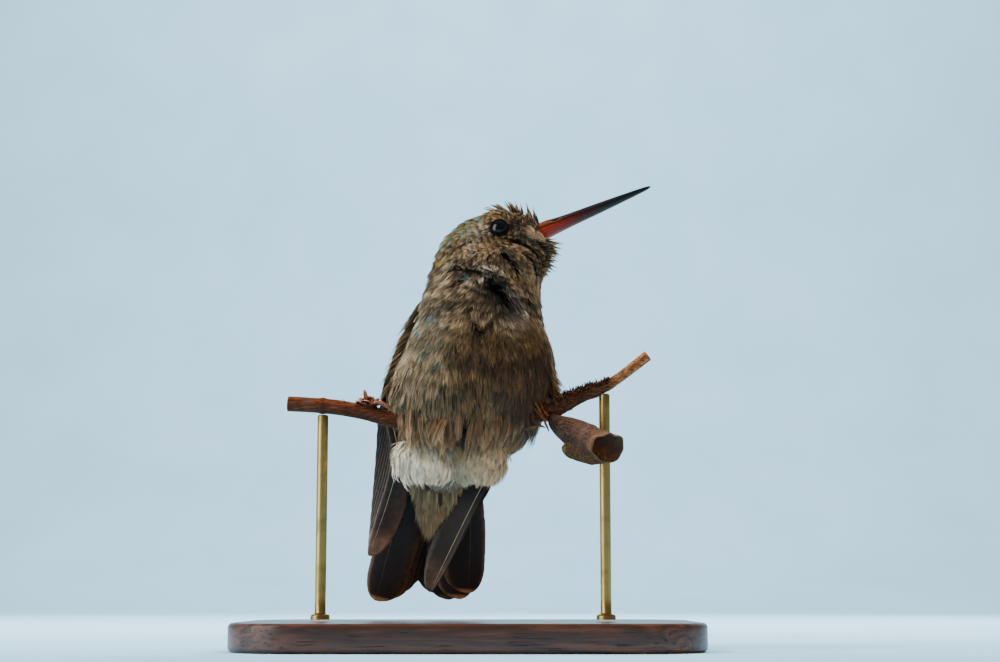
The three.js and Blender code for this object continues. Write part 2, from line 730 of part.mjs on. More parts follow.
// A shell between two surfaces over the same grid, closed round its edge. Both faces are split
// into triangles alike.
function shell(outer, inner, columns, rows) {
  const points = [];
  for (const surface of [outer, inner]) {
    for (let r = 0; r <= rows; r += 1) {
      for (let c = 0; c <= columns; c += 1) points.push(surface(c / columns, r / rows));
    }
  }
  const width = columns + 1;
  const below = points.length / 2;
  const index = [];
  for (let r = 0; r < rows; r += 1) {
    for (let c = 0; c < columns; c += 1) {
      const a = r * width + c;
      index.push(a, a + 1, a + width, a + 1, a + 1 + width, a + width);
      const b = below + a;
      index.push(b, b + width, b + 1, b + 1, b + width, b + 1 + width);
    }
  }
  const rim = [];
  for (let c = 0; c < columns; c += 1) rim.push(c);
  for (let r = 0; r < rows; r += 1) rim.push(r * width + columns);
  for (let c = columns; c > 0; c -= 1) rim.push(rows * width + c);
  for (let r = rows; r > 0; r -= 1) rim.push(r * width);
  rim.forEach((a, i) => {
    const b = rim[(i + 1) % rim.length];
    index.push(a, below + b, b, a, below + a, below + b);
  });
  const geometry = new THREE.BufferGeometry().setFromPoints(points);
  geometry.setIndex(index);
  return solidOf(geometry);
}

// Feathers that lie on the trunk, from one angle round it to another: a tier of a wing.
function tier({ hand, turn }, { count, angles, levels, lifts, width }) {
  const feathers = [];
  for (let i = 0; i < count; i += 1) {
    const share = i / (count - 1);
    const at = (pair) => mix(pair[0], pair[1], share);
    const station = (level, row) => onTrunk(hand, at(level), turn + at(angles[row]), at(lifts[row]));
    const curve = smoothCurve(levels.map(station));
    const round = rad(turn + at(angles[1]));
    const edge = () => vec([-hand * Math.sin(round), Math.cos(round), 0]);
    feathers.push(vane({ curve, edge, width: featherWidth(at(width)), lead: 0.4, thickness: 0.5 }));
  }
  return feathers;
}

// The ten long feathers of the hand, the outermost first; each lies a little further out from
// the body than the one before and ends a little higher.
function primaries({ hand, turn, low, tip, edges }) {
  const feathers = [];
  for (let i = 0; i < PRIMARY_COUNT; i += 1) {
    const share = i / (PRIMARY_COUNT - 1);
    const at = (pair) => mix(pair[0], pair[1], share);
    const stations = [
      onTrunk(hand, at(PRIMARY_ROOT.level), turn + at(PRIMARY_ROOT.angle), at(PRIMARY_ROOT.lift)),
      onTrunk(hand, at(PRIMARY_BEND.level), turn + at(PRIMARY_BEND.angle), at(PRIMARY_BEND.lift)),
      vec(low[0]).lerp(vec(low[1]), share),
      vec(tip[0]).lerp(vec(tip[1]), share ** 1.3),
    ];
    const outer = vec(edges[1]).lerp(vec(edges[2]), share);
    const edge = (place) => vec(edges[0]).lerp(outer, Math.min(1, 1.3 * place));
    feathers.push(vane({
      curve: smoothCurve(stations),
      edge,
      width: featherWidth(at(PRIMARY_WIDTH), 0.25),
      lead: 0.24,
      steps: LONG_STEPS,
    }));
  }
  return feathers;
}

// The arm of a folded wing with its smallest feathers: a low dome on the side of the trunk.
function wingArm({ hand, turn }) {
  const { angles, levels, rim, rise } = WING_ARM;
  const place = (u, v, lift) => {
    const angle = turn + mix(angles[0], angles[1], u);
    return onTrunk(hand, mix(levels[0], levels[1], v), angle, lift);
  };
  const arch = (share, from, to) => Math.sin(Math.PI * mix(from, to, share));
  const dome = (u, v) => rise * Math.sqrt(arch(u, 0.04, 0.96) * arch(v, 0.05, 0.9));
  return shell((u, v) => place(u, v, rim + dome(u, v)), (u, v) => place(u, v, 0.1), 7, 6);
}

function wingSolid(wing) {
  return joined([
    wingArm(wing),
    ...primaries(wing),
    ...tier(wing, SECONDARIES),
    ...tier(wing, GREATER_COVERTS),
    ...tier(wing, MEDIAN_COVERTS),
  ]);
}

// The fan of the tail: the outermost feathers lie nearest to the belly, each next one behind.
function rectrices() {
  return TAIL_TIPS.map(([x, z], i) => {
    const last = TAIL_TIPS.length - 1;
    const depth = Math.min(i, last - i) + (i > last / 2 ? 0.5 : 0);
    const share = i / last;
    const rootX = mix(TAIL_ROOT.left, TAIL_ROOT.right, share);
    const root = vec([rootX, TAIL_ROOT.y + TAIL_LAYER * depth, TAIL_ROOT.z]);
    const end = vec([x, TAIL_END_Y + TAIL_LAYER * depth, z]);
    const bow = (2 * share - 1) * TAIL_BOW;
    const middle = root.clone().lerp(end, 0.5).add(vec([bow, 0.3, 0]));
    const lead = share < 0.5 ? mix(0.36, 0.5, share) : mix(0.5, 0.64, share);
    return vane({
      curve: smoothCurve([root, middle, end]),
      edge: () => vec([1, 0, 0]),
      width: featherWidth(TAIL_WIDTH, 0.4),
      lead,
      steps: LONG_STEPS,
    });
  });
}

// Rows of short feathers that overlap like tiles; each row hangs from a line of roots.
function tiles(rows) {
  return rows.flatMap(({ count, roots, tips, drop, width, bulge }) => {
    const feathers = [];
    for (let i = 0; i < count; i += 1) {
      const share = i / (count - 1);
      const root = vec(roots[0]).lerp(vec(roots[1]), share);
      const end = vec(tips[0]).lerp(vec(tips[1]), share);
      end.z -= Math.sin(Math.PI * share) * drop;
      const middle = root.clone().lerp(end, 0.5).add(vec([0, -bulge, 0]));
      feathers.push(vane({
        curve: smoothCurve([root, middle, end]),
        edge: () => vec([1, 0, 0]),
        width: featherWidth(width, 0.45),
        thickness: 0.6,
      }));
    }
    return feathers;
  });
}

function tailSolid() {
  return joined([...rectrices(), ...tiles(UPPER_TAIL_COVERTS)]);
}

function covertsSolid() {
  const { line, width, thickness } = COVERTS_CORE;
  const core = vane({
    curve: smoothCurve(line.map(vec)),
    edge: () => vec([1, 0, 0]),
    width: (share) => mix(width[0], width[1], share),
    thickness: thickness[0],
    tipThickness: thickness[1],
  });
  return joined([core, ...tiles(UNDERTAIL_COVERTS)]);
}

// A puff of down: a rounded core with a fringe of soft locks over its lower half.
function tuftSolid({ middle, size }) {
  const core = ball(vec([0, 0, 0]), 1, 13, 8).scale(size).translate(middle);
  const locks = TUFT_ROWS.flatMap(({ front, reach }, row) => {
    const pieces = [];
    for (let i = 0; i < TUFT_LOCKS.count; i += 1) {
      const share = (i + 0.5 * row) / (TUFT_LOCKS.count - 0.5);
      const angle = rad(mix(TUFT_LOCKS.from, TUFT_LOCKS.to, share));
      const out = vec([Math.cos(angle) * size[0], -front * size[1], Math.sin(angle) * size[2]]);
      const root = vec(middle).addScaledVector(out, 0.55);
      const end = vec(middle).addScaledVector(out, reach).add(vec([0, 0, -0.7]));
      pieces.push(vane({
        curve: smoothCurve([root, root.clone().lerp(end, 0.55).add(vec([0, -0.35, 0.25])), end]),
        edge: () => vec([-Math.sin(angle), 0, Math.cos(angle)]),
        width: (place) => mix(TUFT_LOCKS.width, TUFT_LOCKS.tip, place ** 1.5),
        thickness: TUFT_LOCKS.thickness,
        tipThickness: 0.3,
        steps: LOCK_STEPS,
      }));
    }
    return pieces;
  });
  return joined([core, ...locks]);
}

// ---------------------------------------------------------------- stand

function baseSolid() {
  const [w, d, r] = [BASE_LENGTH / 2 - BASE_CHAMFER, BASE_DEPTH / 2 - BASE_CHAMFER, BASE_CORNER];
  const outline = new THREE.Shape();
  outline.moveTo(-w + r, -d);
  outline.lineTo(w - r, -d);
  outline.absarc(w - r, -d + r, r, -Math.PI / 2, 0, false);
  outline.absarc(w - r, d - r, r, 0, Math.PI / 2, false);
  outline.absarc(-w + r, d - r, r, Math.PI / 2, Math.PI, false);
  outline.absarc(-w + r, -d + r, r, Math.PI, 1.5 * Math.PI, false);
  const slab = new THREE.ExtrudeGeometry(outline, {
    depth: BASE_THICKNESS - 2 * BASE_CHAMFER,
    bevelThickness: BASE_CHAMFER,
    bevelSize: BASE_CHAMFER,
    bevelSegments: 1,
    curveSegments: 5,
  });
  slab.translate(0, 0, BASE_CHAMFER);
  return solidOf(slab);
}

function rodSolid(x) {
  const top = perchMiddle(x);
  const length = top.z - BASE_THICKNESS - GAP;
  const rod = new THREE.CylinderGeometry(ROD_RADIUS, ROD_RADIUS, length, 12);
  rod.rotateX(Math.PI / 2);
  rod.translate(x, top.y, BASE_THICKNESS + GAP + length / 2);
  return solidOf(rod);
}

// ---------------------------------------------------------------- parting and fitting

function bellyGap() {
  const { front, back, top, shoulder } = BELLY_GAP;
  const outline = new THREE.Shape();
  outline.moveTo(back, 0);
  outline.lineTo(back, top - shoulder);
  outline.lineTo(back - shoulder, top);
  outline.lineTo(front + shoulder, top);
  outline.lineTo(front, top - shoulder);
  outline.lineTo(front, 0);
  outline.closePath();
  const prism = new THREE.ExtrudeGeometry(outline, { depth: 2 * FAR, bevelEnabled: false });
  prism.applyMatrix4(new THREE.Matrix4().makeBasis(vec([0, 1, 0]), vec([0, 0, 1]), vec([1, 0, 0])));
  prism.translate(-FAR, 0, 0);
  return solidOf(prism);
}

function birdSolids() {
  const trunk = trunkSolid(0);
  const around = trunkSolid(GAP);
  const whole = trunk.add(headSolid());
  const dressed = joined([whole, ...foreheadLocks(), ...throatLocks()]);
  let head = between(dressed, HEAD_CUT + GAP / 2, FAR);
  for (const side of [1, -1]) {
    head = head.add(lidMound(side)).subtract(ball(eyeMiddle(side), EYE_RADIUS + GAP, 16, 10));
  }
  const torso = between(whole, 0, NECK_CUT - GAP / 2)
    .subtract(bellyGap())
    .subtract(perchSolid(GAP))
    .subtract(shank(FOOT_X.right, GAP))
    .subtract(shank(FOOT_X.left, GAP));
  const behind = boxBetween(vec([-FAR, BELLY_GAP.back - GAP, -FAR]), vec([FAR, FAR, FAR]));
  const rightSide = boxBetween(vec([-FAR, -FAR, -FAR]), vec([TUFT_PARTING + GAP, FAR, FAR]));
  const leftSide = boxBetween(vec([TUFT_PARTING, -FAR, -FAR]), vec([FAR, FAR, FAR]));
  return {
    head: head.subtract(billRoom()),
    neck: between(whole, NECK_CUT + GAP / 2, HEAD_CUT - GAP / 2),
    torso,
    eye_right: ball(eyeMiddle(1), EYE_RADIUS, 14, 10),
    eye_left: ball(eyeMiddle(-1), EYE_RADIUS, 14, 10),
    bill_upper: billHalf(1).subtract(nostrilCut(1)).subtract(nostrilCut(-1)),
    bill_lower: billHalf(-1),
    wing_right: wingSolid(WINGS.right).subtract(around),
    wing_left: wingSolid(WINGS.left).subtract(around),
    tail: tailSolid().subtract(around),
    undertail_coverts: covertsSolid().subtract(around),
    thigh_tuft_right: tuftSolid(TUFTS.right).subtract(behind).subtract(leftSide),
    thigh_tuft_left: tuftSolid(TUFTS.left).subtract(behind).subtract(rightSide),
    leg_right: legSolid(FOOT_X.right),
    leg_left: legSolid(FOOT_X.left),
  };
}

function standSolids() {
  const room = perchSolid(GAP);
  const perch = perchSolid(0);
  return {
    perch,
    perch_bud: budSolid().subtract(room),
    perch_leaf: leafSolid().subtract(room),
    stand_base: baseSolid(),
    stand_rod_left: rodSolid(ROD_X.left).subtract(room),
    stand_rod_right: rodSolid(ROD_X.right).subtract(room),
  };
}

// ---------------------------------------------------------------- the model

const FINISHES = {
  head: ['crown', 0.8],
  neck: ['plumage', 0.9],
  torso: ['plumage', 0.9],
  eye_right: ['eye', 0.1],
  eye_left: ['eye', 0.1],
  bill_upper: ['bill', 0.4],
  bill_lower: ['billRed', 0.45],
  wing_right: ['wing', 0.6],
  wing_left: ['wing', 0.6],
  tail: ['tail', 0.5],
  undertail_coverts: ['coverts', 0.9],
  thigh_tuft_right: ['down', 1],
  thigh_tuft_left: ['down', 1],
  leg_right: ['foot', 0.6],
  leg_left: ['foot', 0.6],
  perch: ['stem', 0.8],
  perch_bud: ['bud', 0.9],
  perch_leaf: ['leaf', 0.9],
  stand_base: ['wood', 0.45],
  stand_rod_left: ['brass', 0.35],
  stand_rod_right: ['brass', 0.35],
};

function namedMesh(name, solid) {
  const [colour, roughness] = FINISHES[name];
  const material = new THREE.MeshStandardMaterial({
    color: COLOURS[colour],
    roughness,
    metalness: colour === 'brass' ? 1 : 0,
  });
  const mesh = new THREE.Mesh(geometryOf(largest(solid)), material);
  mesh.name = name;
  return mesh;
}

const hummingbird = new THREE.Group();
for (const [name, solid] of Object.entries({ ...birdSolids(), ...standSolids() })) {
  hummingbird.add(namedMesh(name, solid));
}

export default hummingbird;
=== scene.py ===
"""A female broad-billed hummingbird as a still, life-size display model.

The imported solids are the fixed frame. Each class below is one part of the bird, of its perch or of
its stand: it holds its sizes in millimetres, works its surfaces out as arrays and dresses them.
+Z is up, the belly faces -Y and the bird's right side lies towards -X.
"""

import logging
import math
from collections.abc import Sequence
from dataclasses import dataclass, field
from enum import Enum

import bpy
import numpy as np
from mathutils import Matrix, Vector


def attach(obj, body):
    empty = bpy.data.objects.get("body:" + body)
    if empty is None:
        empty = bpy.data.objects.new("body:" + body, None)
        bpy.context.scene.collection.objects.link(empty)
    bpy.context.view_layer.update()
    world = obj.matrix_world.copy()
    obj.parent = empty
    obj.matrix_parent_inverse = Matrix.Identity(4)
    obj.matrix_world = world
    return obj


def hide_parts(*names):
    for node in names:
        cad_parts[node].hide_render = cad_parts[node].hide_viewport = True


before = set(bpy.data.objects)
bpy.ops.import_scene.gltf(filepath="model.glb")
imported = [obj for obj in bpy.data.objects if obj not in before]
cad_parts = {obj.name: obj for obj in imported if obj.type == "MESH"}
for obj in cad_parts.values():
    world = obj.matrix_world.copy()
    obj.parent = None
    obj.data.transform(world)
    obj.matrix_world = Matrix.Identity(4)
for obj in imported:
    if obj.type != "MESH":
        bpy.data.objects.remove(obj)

Array = np.ndarray
MM = 0.001
BODY = "root"
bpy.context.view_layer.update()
EYE = (5.1, -300.0, 9.0)
ACROSS = np.array([1.0, 0.0, 0.0])
BEHIND = np.array([0.0, 1.0, 0.0])
UPWARD = np.array([0.0, 0.0, 1.0])
log = logging.getLogger("hummingbird")


# ---- arrays and curves


def colour(code: str) -> Array:
    """Linear red, green and blue of a colour written as rrggbb."""
    parts = np.array([int(code[i : i + 2], 16) for i in (0, 2, 4)]) / 255
    return np.where(parts > 0.04045, ((parts + 0.055) / 1.055) ** 2.4, parts / 12.92)


def colours(codes: Sequence[str]) -> Array:
    """The colours of several codes, one row each."""
    return np.stack([colour(code) for code in codes])


def uneven(codes: Sequence[str], spread: float, count: int, rng: np.random.Generator) -> Array:
    """The same colours for each of many feathers, drawn a little lighter or darker."""
    return colours(codes) * (1 + rng.normal(0, spread, (count, 1, 1)))


def unit(vectors: Array) -> Array:
    """Vectors of length one in the same directions."""
    vectors = np.asarray(vectors, float)
    return vectors / np.maximum(np.linalg.norm(vectors, axis=-1, keepdims=True), 1e-9)


def square_to(vectors: Array, axes: Array) -> Array:
    """Unit vectors without the part that runs along the axes."""
    return unit(vectors - axes * np.einsum("ij,ij->i", vectors, axes)[:, None])


def between(pair: Sequence[Sequence[float] | float], share: Array) -> Array:
    """A value between the two of a pair."""
    first, second = np.asarray(pair[0], float), np.asarray(pair[1], float)
    return first + (second - first) * share


def ease(low: float, high: float, x: Array) -> Array:
    """A smooth step from 0 at `low` to 1 at `high`."""
    share = np.clip((np.asarray(x, float) - low) / (high - low), 0, 1)
    return share * share * (3 - 2 * share)


def bell(x: Array, middle: float, width: float) -> Array:
    """A bell of height 1 round a middle."""
    return np.exp(-(((np.asarray(x, float) - middle) / width) ** 2))


def smooth_rows(rows: Sequence[Sequence[float]], count: int) -> Array:
    """Rows on a smooth curve through the given rows, evenly spread over its length.

    Catmull and Rom's curve: each stretch is the cubic that leaves and reaches its two rows along the
    lines between their neighbours.

    Args:
        rows: The rows that the curve passes through.
        count: How many rows to return.

    Returns:
        An array of `count` rows.
    """
    knots = np.asarray(rows, float)
    fine = np.linspace(0, len(knots) - 1, 24 * len(knots))
    i = np.minimum(fine.astype(int), len(knots) - 2)
    t = (fine - i)[:, None]
    near = [knots[np.clip(i + k, 0, len(knots) - 1)] for k in (-1, 0, 1, 2)]
    curve = 0.5 * (
        2 * near[1]
        + (near[2] - near[0]) * t
        + (2 * near[0] - 5 * near[1] + 4 * near[2] - near[3]) * t**2
        + (3 * near[1] - near[0] - 3 * near[2] + near[3]) * t**3
    )
    steps = np.linalg.norm(np.diff(curve, axis=0), axis=1)
    length = np.concatenate([[0], np.cumsum(steps)])
    wanted = np.linspace(0, length[-1], count)
    return np.stack([np.interp(wanted, length, column) for column in curve.T], 1)


def ripple(points: Array, size: float, seed: int) -> Array:
    """Smooth uneven values from about -1 to 1: a sum of sine waves in drawn directions.

    Args:
        points: Places, in millimetres.
        size: Rough width of one swell, in millimetres.
        seed: Seed of the draw.

    Returns:
        A value for each place.
    """
    rng = np.random.default_rng(seed)
    waves = rng.normal(size=(points.shape[-1], 7)) * 2.4 / size
    return np.sin(points @ waves + rng.uniform(0, 2 * math.pi, 7)).sum(-1) / 3.2


# ---- meshes


@dataclass
class Draft:
    """A mesh on its way to Blender, in millimetres.

    `tint` is a colour for each point, `values` are named numbers for each point, and `bake` is each
    point's place on the unwrap that a baked picture uses.
    """

    points: Array
    quads: Array = field(default_factory=lambda: np.zeros((0, 4), int))
    triangles: Array = field(default_factory=lambda: np.zeros((0, 3), int))
    tint: Array | None = None
    values: dict[str, Array] = field(default_factory=dict)
    bake: Array | None = None

    @staticmethod
    def joined(drafts: Sequence["Draft"]) -> "Draft":
        """One draft of several; each must carry the same sorts of values.

        Args:
            drafts: The drafts, in their order.

        Returns:
            One draft with all their points and faces.
        """
        starts = np.cumsum([0] + [len(draft.points) for draft in drafts])
        first = drafts[0]
        return Draft(
            np.concatenate([draft.points for draft in drafts]),
            np.concatenate([draft.quads + start for draft, start in zip(drafts, starts)]),
            np.concatenate([draft.triangles + start for draft, start in zip(drafts, starts)]),
            None if first.tint is None else np.concatenate([draft.tint for draft in drafts]),
            {name: np.concatenate([draft.values[name] for draft in drafts]) for name in first.values},
            None if first.bake is None else np.concatenate([draft.bake for draft in drafts]),
        )

    @staticmethod
    def atlas(drafts: Sequence["Draft"]) -> "Draft":
        """One draft of several, each with its own square cell of the unwrap.

        Args:
            drafts: The drafts, in their order.

        Returns:
            One draft whose unwrap is a square of such cells.
        """
        across = math.ceil(math.sqrt(len(drafts)))
        for i, draft in enumerate(drafts):
            local = np.full((len(draft.points), 2), 0.5) if draft.bake is None else draft.bake
            draft.bake = (np.array([i % across, i // across]) + 0.06 + 0.88 * np.clip(local, 0, 1)) / across
        return Draft.joined(drafts)

    def coloured(self, code: str, **values: Array) -> "Draft":
        """The same draft in one plain colour, with the given values for its own."""
        self.tint = np.broadcast_to(colour(code), self.points.shape)
        self.values = values
        return self

    def to_mesh(self, name: str) -> bpy.types.Mesh:
        """The draft as a Blender mesh with its attributes.

        Args:
            name: Name of the mesh.

        Returns:
            The mesh, in metres.
        """
        mesh = bpy.data.meshes.new(name)
        mesh.vertices.add(len(self.points))
        mesh.vertices.foreach_set("co", (self.points * MM).astype(np.float32).ravel())
        corners = np.concatenate([self.quads.ravel(), self.triangles.ravel()]).astype(np.int32)
        sizes = np.concatenate([np.full(len(self.quads), 4), np.full(len(self.triangles), 3)])
        mesh.loops.add(len(corners))
        mesh.loops.foreach_set("vertex_index", corners)
        mesh.polygons.add(len(sizes))
        mesh.polygons.foreach_set("loop_start", (np.cumsum(sizes) - sizes).astype(np.int32))
        mesh.polygons.foreach_set("use_smooth", np.ones(len(sizes), bool))
        mesh.update(calc_edges=True)
        if self.tint is not None:
            tint = mesh.color_attributes.new(name="tint", type="FLOAT_COLOR", domain="POINT")
            rgba = np.concatenate([np.clip(self.tint, 0, 1), np.ones((len(self.points), 1))], 1)
            tint.data.foreach_set("color", rgba.astype(np.float32).ravel())
        for key, numbers in self.values.items():
            attribute = mesh.attributes.new(key, "FLOAT", "POINT")
            attribute.data.foreach_set("value", numbers.astype(np.float32))
        if self.bake is not None:
            layer = mesh.uv_layers.new(name="OFBake")
            layer.data.foreach_set("uv", self.bake[corners].astype(np.float32).ravel())
        return mesh

    def to_piece(self, name: str, material: bpy.types.Material, slot: str, *nodes: str) -> bpy.types.Object:
        """The draft as a finished piece of the object.

        Args:
            name: The piece's name.
            material: Its finish.
            slot: The material slot of the record for this piece; not used.
            nodes: The CAD nodes that it stands for.

        Returns:
            The new object, riding on the body.
        """
        piece = bpy.data.objects.new(name, self.to_mesh(name))
        bpy.context.scene.collection.objects.link(piece)
        piece.data.materials.append(material)
        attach(piece, BODY)
        if nodes:
            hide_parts(*nodes)
        log.info("%s: %d triangles", name, 2 * len(self.quads) + len(self.triangles))
        return piece


def grid_quads(rows: int, columns: int, ring: bool = False, start: int = 0) -> Array:
    """Quads of a grid of points stored row by row; a ring joins its last column to its first.

    Args:
        rows: Rows of the grid.
        columns: Points in a row.
        ring: Whether the rows are closed.
        start: Number of the grid's first point.

    Returns:
        Four point numbers for each quad.
    """
    r, c = np.meshgrid(np.arange(rows - 1), np.arange(columns if ring else columns - 1), indexing="ij")
    a = (r * columns + c).ravel()
    b = (r * columns + (c + 1) % columns).ravel()
    return np.stack([a, b, b + columns, a + columns], 1) + start


def loft(rings: Array) -> Draft:
    """A closed skin over rings of points; each end closes on the middle of its ring.

    Args:
        rings: An array of rings by points by three.

    Returns:
        The draft, with `along` and `around` from 0 to 1 as values.
    """
    count, sides = rings.shape[:2]
    k = np.arange(sides)
    after = (k + 1) % sides
    first = count * sides
    last = first - sides
    ends = rings[[0, -1]].mean(axis=1)
    draft = Draft(np.concatenate([rings.reshape(-1, 3), ends]), grid_quads(count, sides, True))
    draft.triangles = np.concatenate([
        np.stack([np.full(sides, first), after, k], 1),
        np.stack([np.full(sides, first + 1), last + k, last + after], 1),
    ])
    along = np.repeat(np.linspace(0, 1, count), sides)
    draft.values = {
        "along": np.concatenate([along, [0, 1]]),
        "around": np.concatenate([np.tile(k / sides, count), [0, 0]]),
    }
    return outward(draft)


def ellipses(middles: Array, sides: Array, ups: Array, wide: Array, high: Array, count: int) -> Array:
    """Rings of points round a line of middles.

    Each point is the middle, plus the side times the half width and the cosine, plus the up times
    the half height and the sine, of an angle that goes once round.

    Args:
        middles: The line, one row a ring.
        sides: Unit directions of each ring's width, or one for all.
        ups: Unit directions of each ring's height, or one for all.
        wide: Half widths, a number a ring or an array of rings by points.
        high: Half heights, likewise.
        count: Points in a ring.

    Returns:
        An array of rings by points by three.
    """
    rings = len(middles)
    angle = np.linspace(0, 2 * math.pi, count, endpoint=False)
    sides, ups = (np.broadcast_to(way, middles.shape)[:, None] for way in (sides, ups))
    wide, high = (np.broadcast_to(half.reshape(rings, -1), (rings, count)) for half in (wide, high))
    out, over = wide * np.cos(angle), high * np.sin(angle)
    return middles[:, None] + sides * out[..., None] + ups * over[..., None]


def egg(middle: Array, half: Sequence[float], end: float, rings: int, count: int) -> Draft:
    """A closed egg.

    Args:
        middle: Its middle.
        half: Half its width, depth and height.
        end: The angle from each pole at which the rings begin.
        rings: How many rings it has.
        count: Points in a ring.

    Returns:
        The draft.
    """
    polar = np.linspace(end, math.pi - end, rings)
    middles = middle + np.outer(np.cos(polar) * half[2], UPWARD)
    return loft(ellipses(middles, ACROSS, BEHIND, np.sin(polar) * half[0], np.sin(polar) * half[1], count))


def outward(draft: Draft) -> Draft:
    """The same closed draft with its faces turned out, judged by the volume that they enclose.

    Args:
        draft: A closed draft, which is changed.

    Returns:
        The same draft.
    """
    corners = np.concatenate([draft.quads[:, :3], draft.quads[:, [0, 2, 3]], draft.triangles])
    a, b, c = (draft.points[corners[:, k]] for k in range(3))
    if np.einsum("ij,ij->i", a, np.cross(b, c)).sum() < 0:
        draft.quads = draft.quads[:, ::-1]
        draft.triangles = draft.triangles[:, ::-1]
    return draft


def frames_along(line: Array, up: Array) -> tuple[Array, Array, Array]:
    """Tangents of a line, and the sides and ups that stand square to them.

    The side is the tangent crossed with the given up, and the new up is the side crossed with the
    tangent.
    """
    tangents = unit(np.gradient(line, axis=0))
    sides = unit(np.cross(tangents, up))
    return tangents, sides, unit(np.cross(sides, tangents))


def rod(line: Array, radii: Array, count: int, up: Array) -> Draft:
    """A round closed rod along a line; the radii are a number a ring or rings by points."""
    _, sides, ups = frames_along(line, up)
    return loft(ellipses(line, sides, ups, radii, radii, count))


def on_paths(rows: Array, places: Array) -> Array:
    """Rows between the four of each path: place 0 is its first row and place 3 its last.

    Args:
        rows: Four rows for each path.
        places: Places from 0 to 3 along each path.

    Returns:
        A row for each place.
    """
    low = np.minimum(places.astype(int), 2)
    part = (places - low)[..., None]
    path = np.arange(len(rows)).reshape(-1, *[1] * (places.ndim - 1))
    return rows[path, low] * (1 - part) + rows[path, low + 1] * part


def hanging(roots: Array, ends: Array, sag: Array, facing: Array) -> tuple[Array, Array, Array]:
    """Paths of four places from roots to ends.

    Args:
        roots: Where the paths begin.
        ends: Where they end.
        sag: How far each bulges half way.
        facing: The direction in which each looks.

    Returns:
        The paths, their normals and their lengths.
    """
    share = np.array([0, 1 / 3, 2 / 3, 1])[None, :, None]
    path = roots[:, None] * (1 - share) + ends[:, None] * share + sag[:, None] * (4 * share * (1 - share))
    normals = square_to(facing, unit(ends - roots))
    return path, np.repeat(normals[:, None], 4, 1), np.linalg.norm(ends - roots, axis=1)


def flat_unwrap(points: Array) -> Array:
    """Places on an unwrap that is seen from the front."""
    return np.stack([points[:, 0] / 40 + 0.5, points[:, 2] / 80], 1)


def fields_at(anchors: Sequence[Sequence[float]], values: Array, points: Array, reach: float) -> Array:
    """Values given at anchors, spread smoothly over other places.

    The weight of an anchor is one over the third power of its squared distance plus a reach squared.

    Args:
        anchors: Places of the anchors.
        values: A row of values for each anchor.
        points: The places asked for.
        reach: Distance within which an anchor has its full say, in millimetres.

    Returns:
        A row of values for each place.
    """
    gaps = points[:, None] - np.asarray(anchors, float)[None]
    weights = 1 / (np.einsum("ijk,ijk->ij", gaps, gaps) + reach**2) ** 3
    return (weights / weights.sum(1, keepdims=True)) @ values


# ---- finishes


class Wire:
    """A socket of a finish that takes part in plain expressions."""

    def __init__(self, shade: "Shade", socket: bpy.types.NodeSocket) -> None:
        """Keeps the socket and the finish that it belongs to."""
        self.shade = shade
        self.socket = socket

    def math(self, operation: str, *terms: "Wire | float") -> "Wire":
        """The result of one Math node."""
        return self.shade.node("ShaderNodeMath", {"operation": operation}, dict(enumerate(terms)))

    def __add__(self, other: "Wire | float") -> "Wire":
        """Sum."""
        return self.math("ADD", self, other)

    def __sub__(self, other: "Wire | float") -> "Wire":
        """Difference."""
        return self.math("SUBTRACT", self, other)

    def __rsub__(self, other: float) -> "Wire":
        """Difference from a number."""
        return self.math("SUBTRACT", other, self)

    def __mul__(self, other: "Wire | float") -> "Wire":
        """Product."""
        return self.math("MULTIPLY", self, other)

    __radd__ = __add__
    __rmul__ = __mul__

    def sine(self) -> "Wire":
        """The sine of the value."""
        return self.math("SINE", self)

    def wave(self) -> "Wire":
        """A wave from 0 to 1: a half, plus half the sine of the value."""
        return self.sine() * 0.5 + 0.5

    def between(self, low: float, high: float) -> "Wire":
        """A smooth step from 0 at `low` to 1 at `high`.

        Args:
            low: Where the step starts.
            high: Where it ends.

        Returns:
            The step's wire.
        """
        return self.shade.node(
            "ShaderNodeMapRange",
            {"interpolation_type": "SMOOTHSTEP"},
            {"Value": self, "From Min": low, "From Max": high},
        )


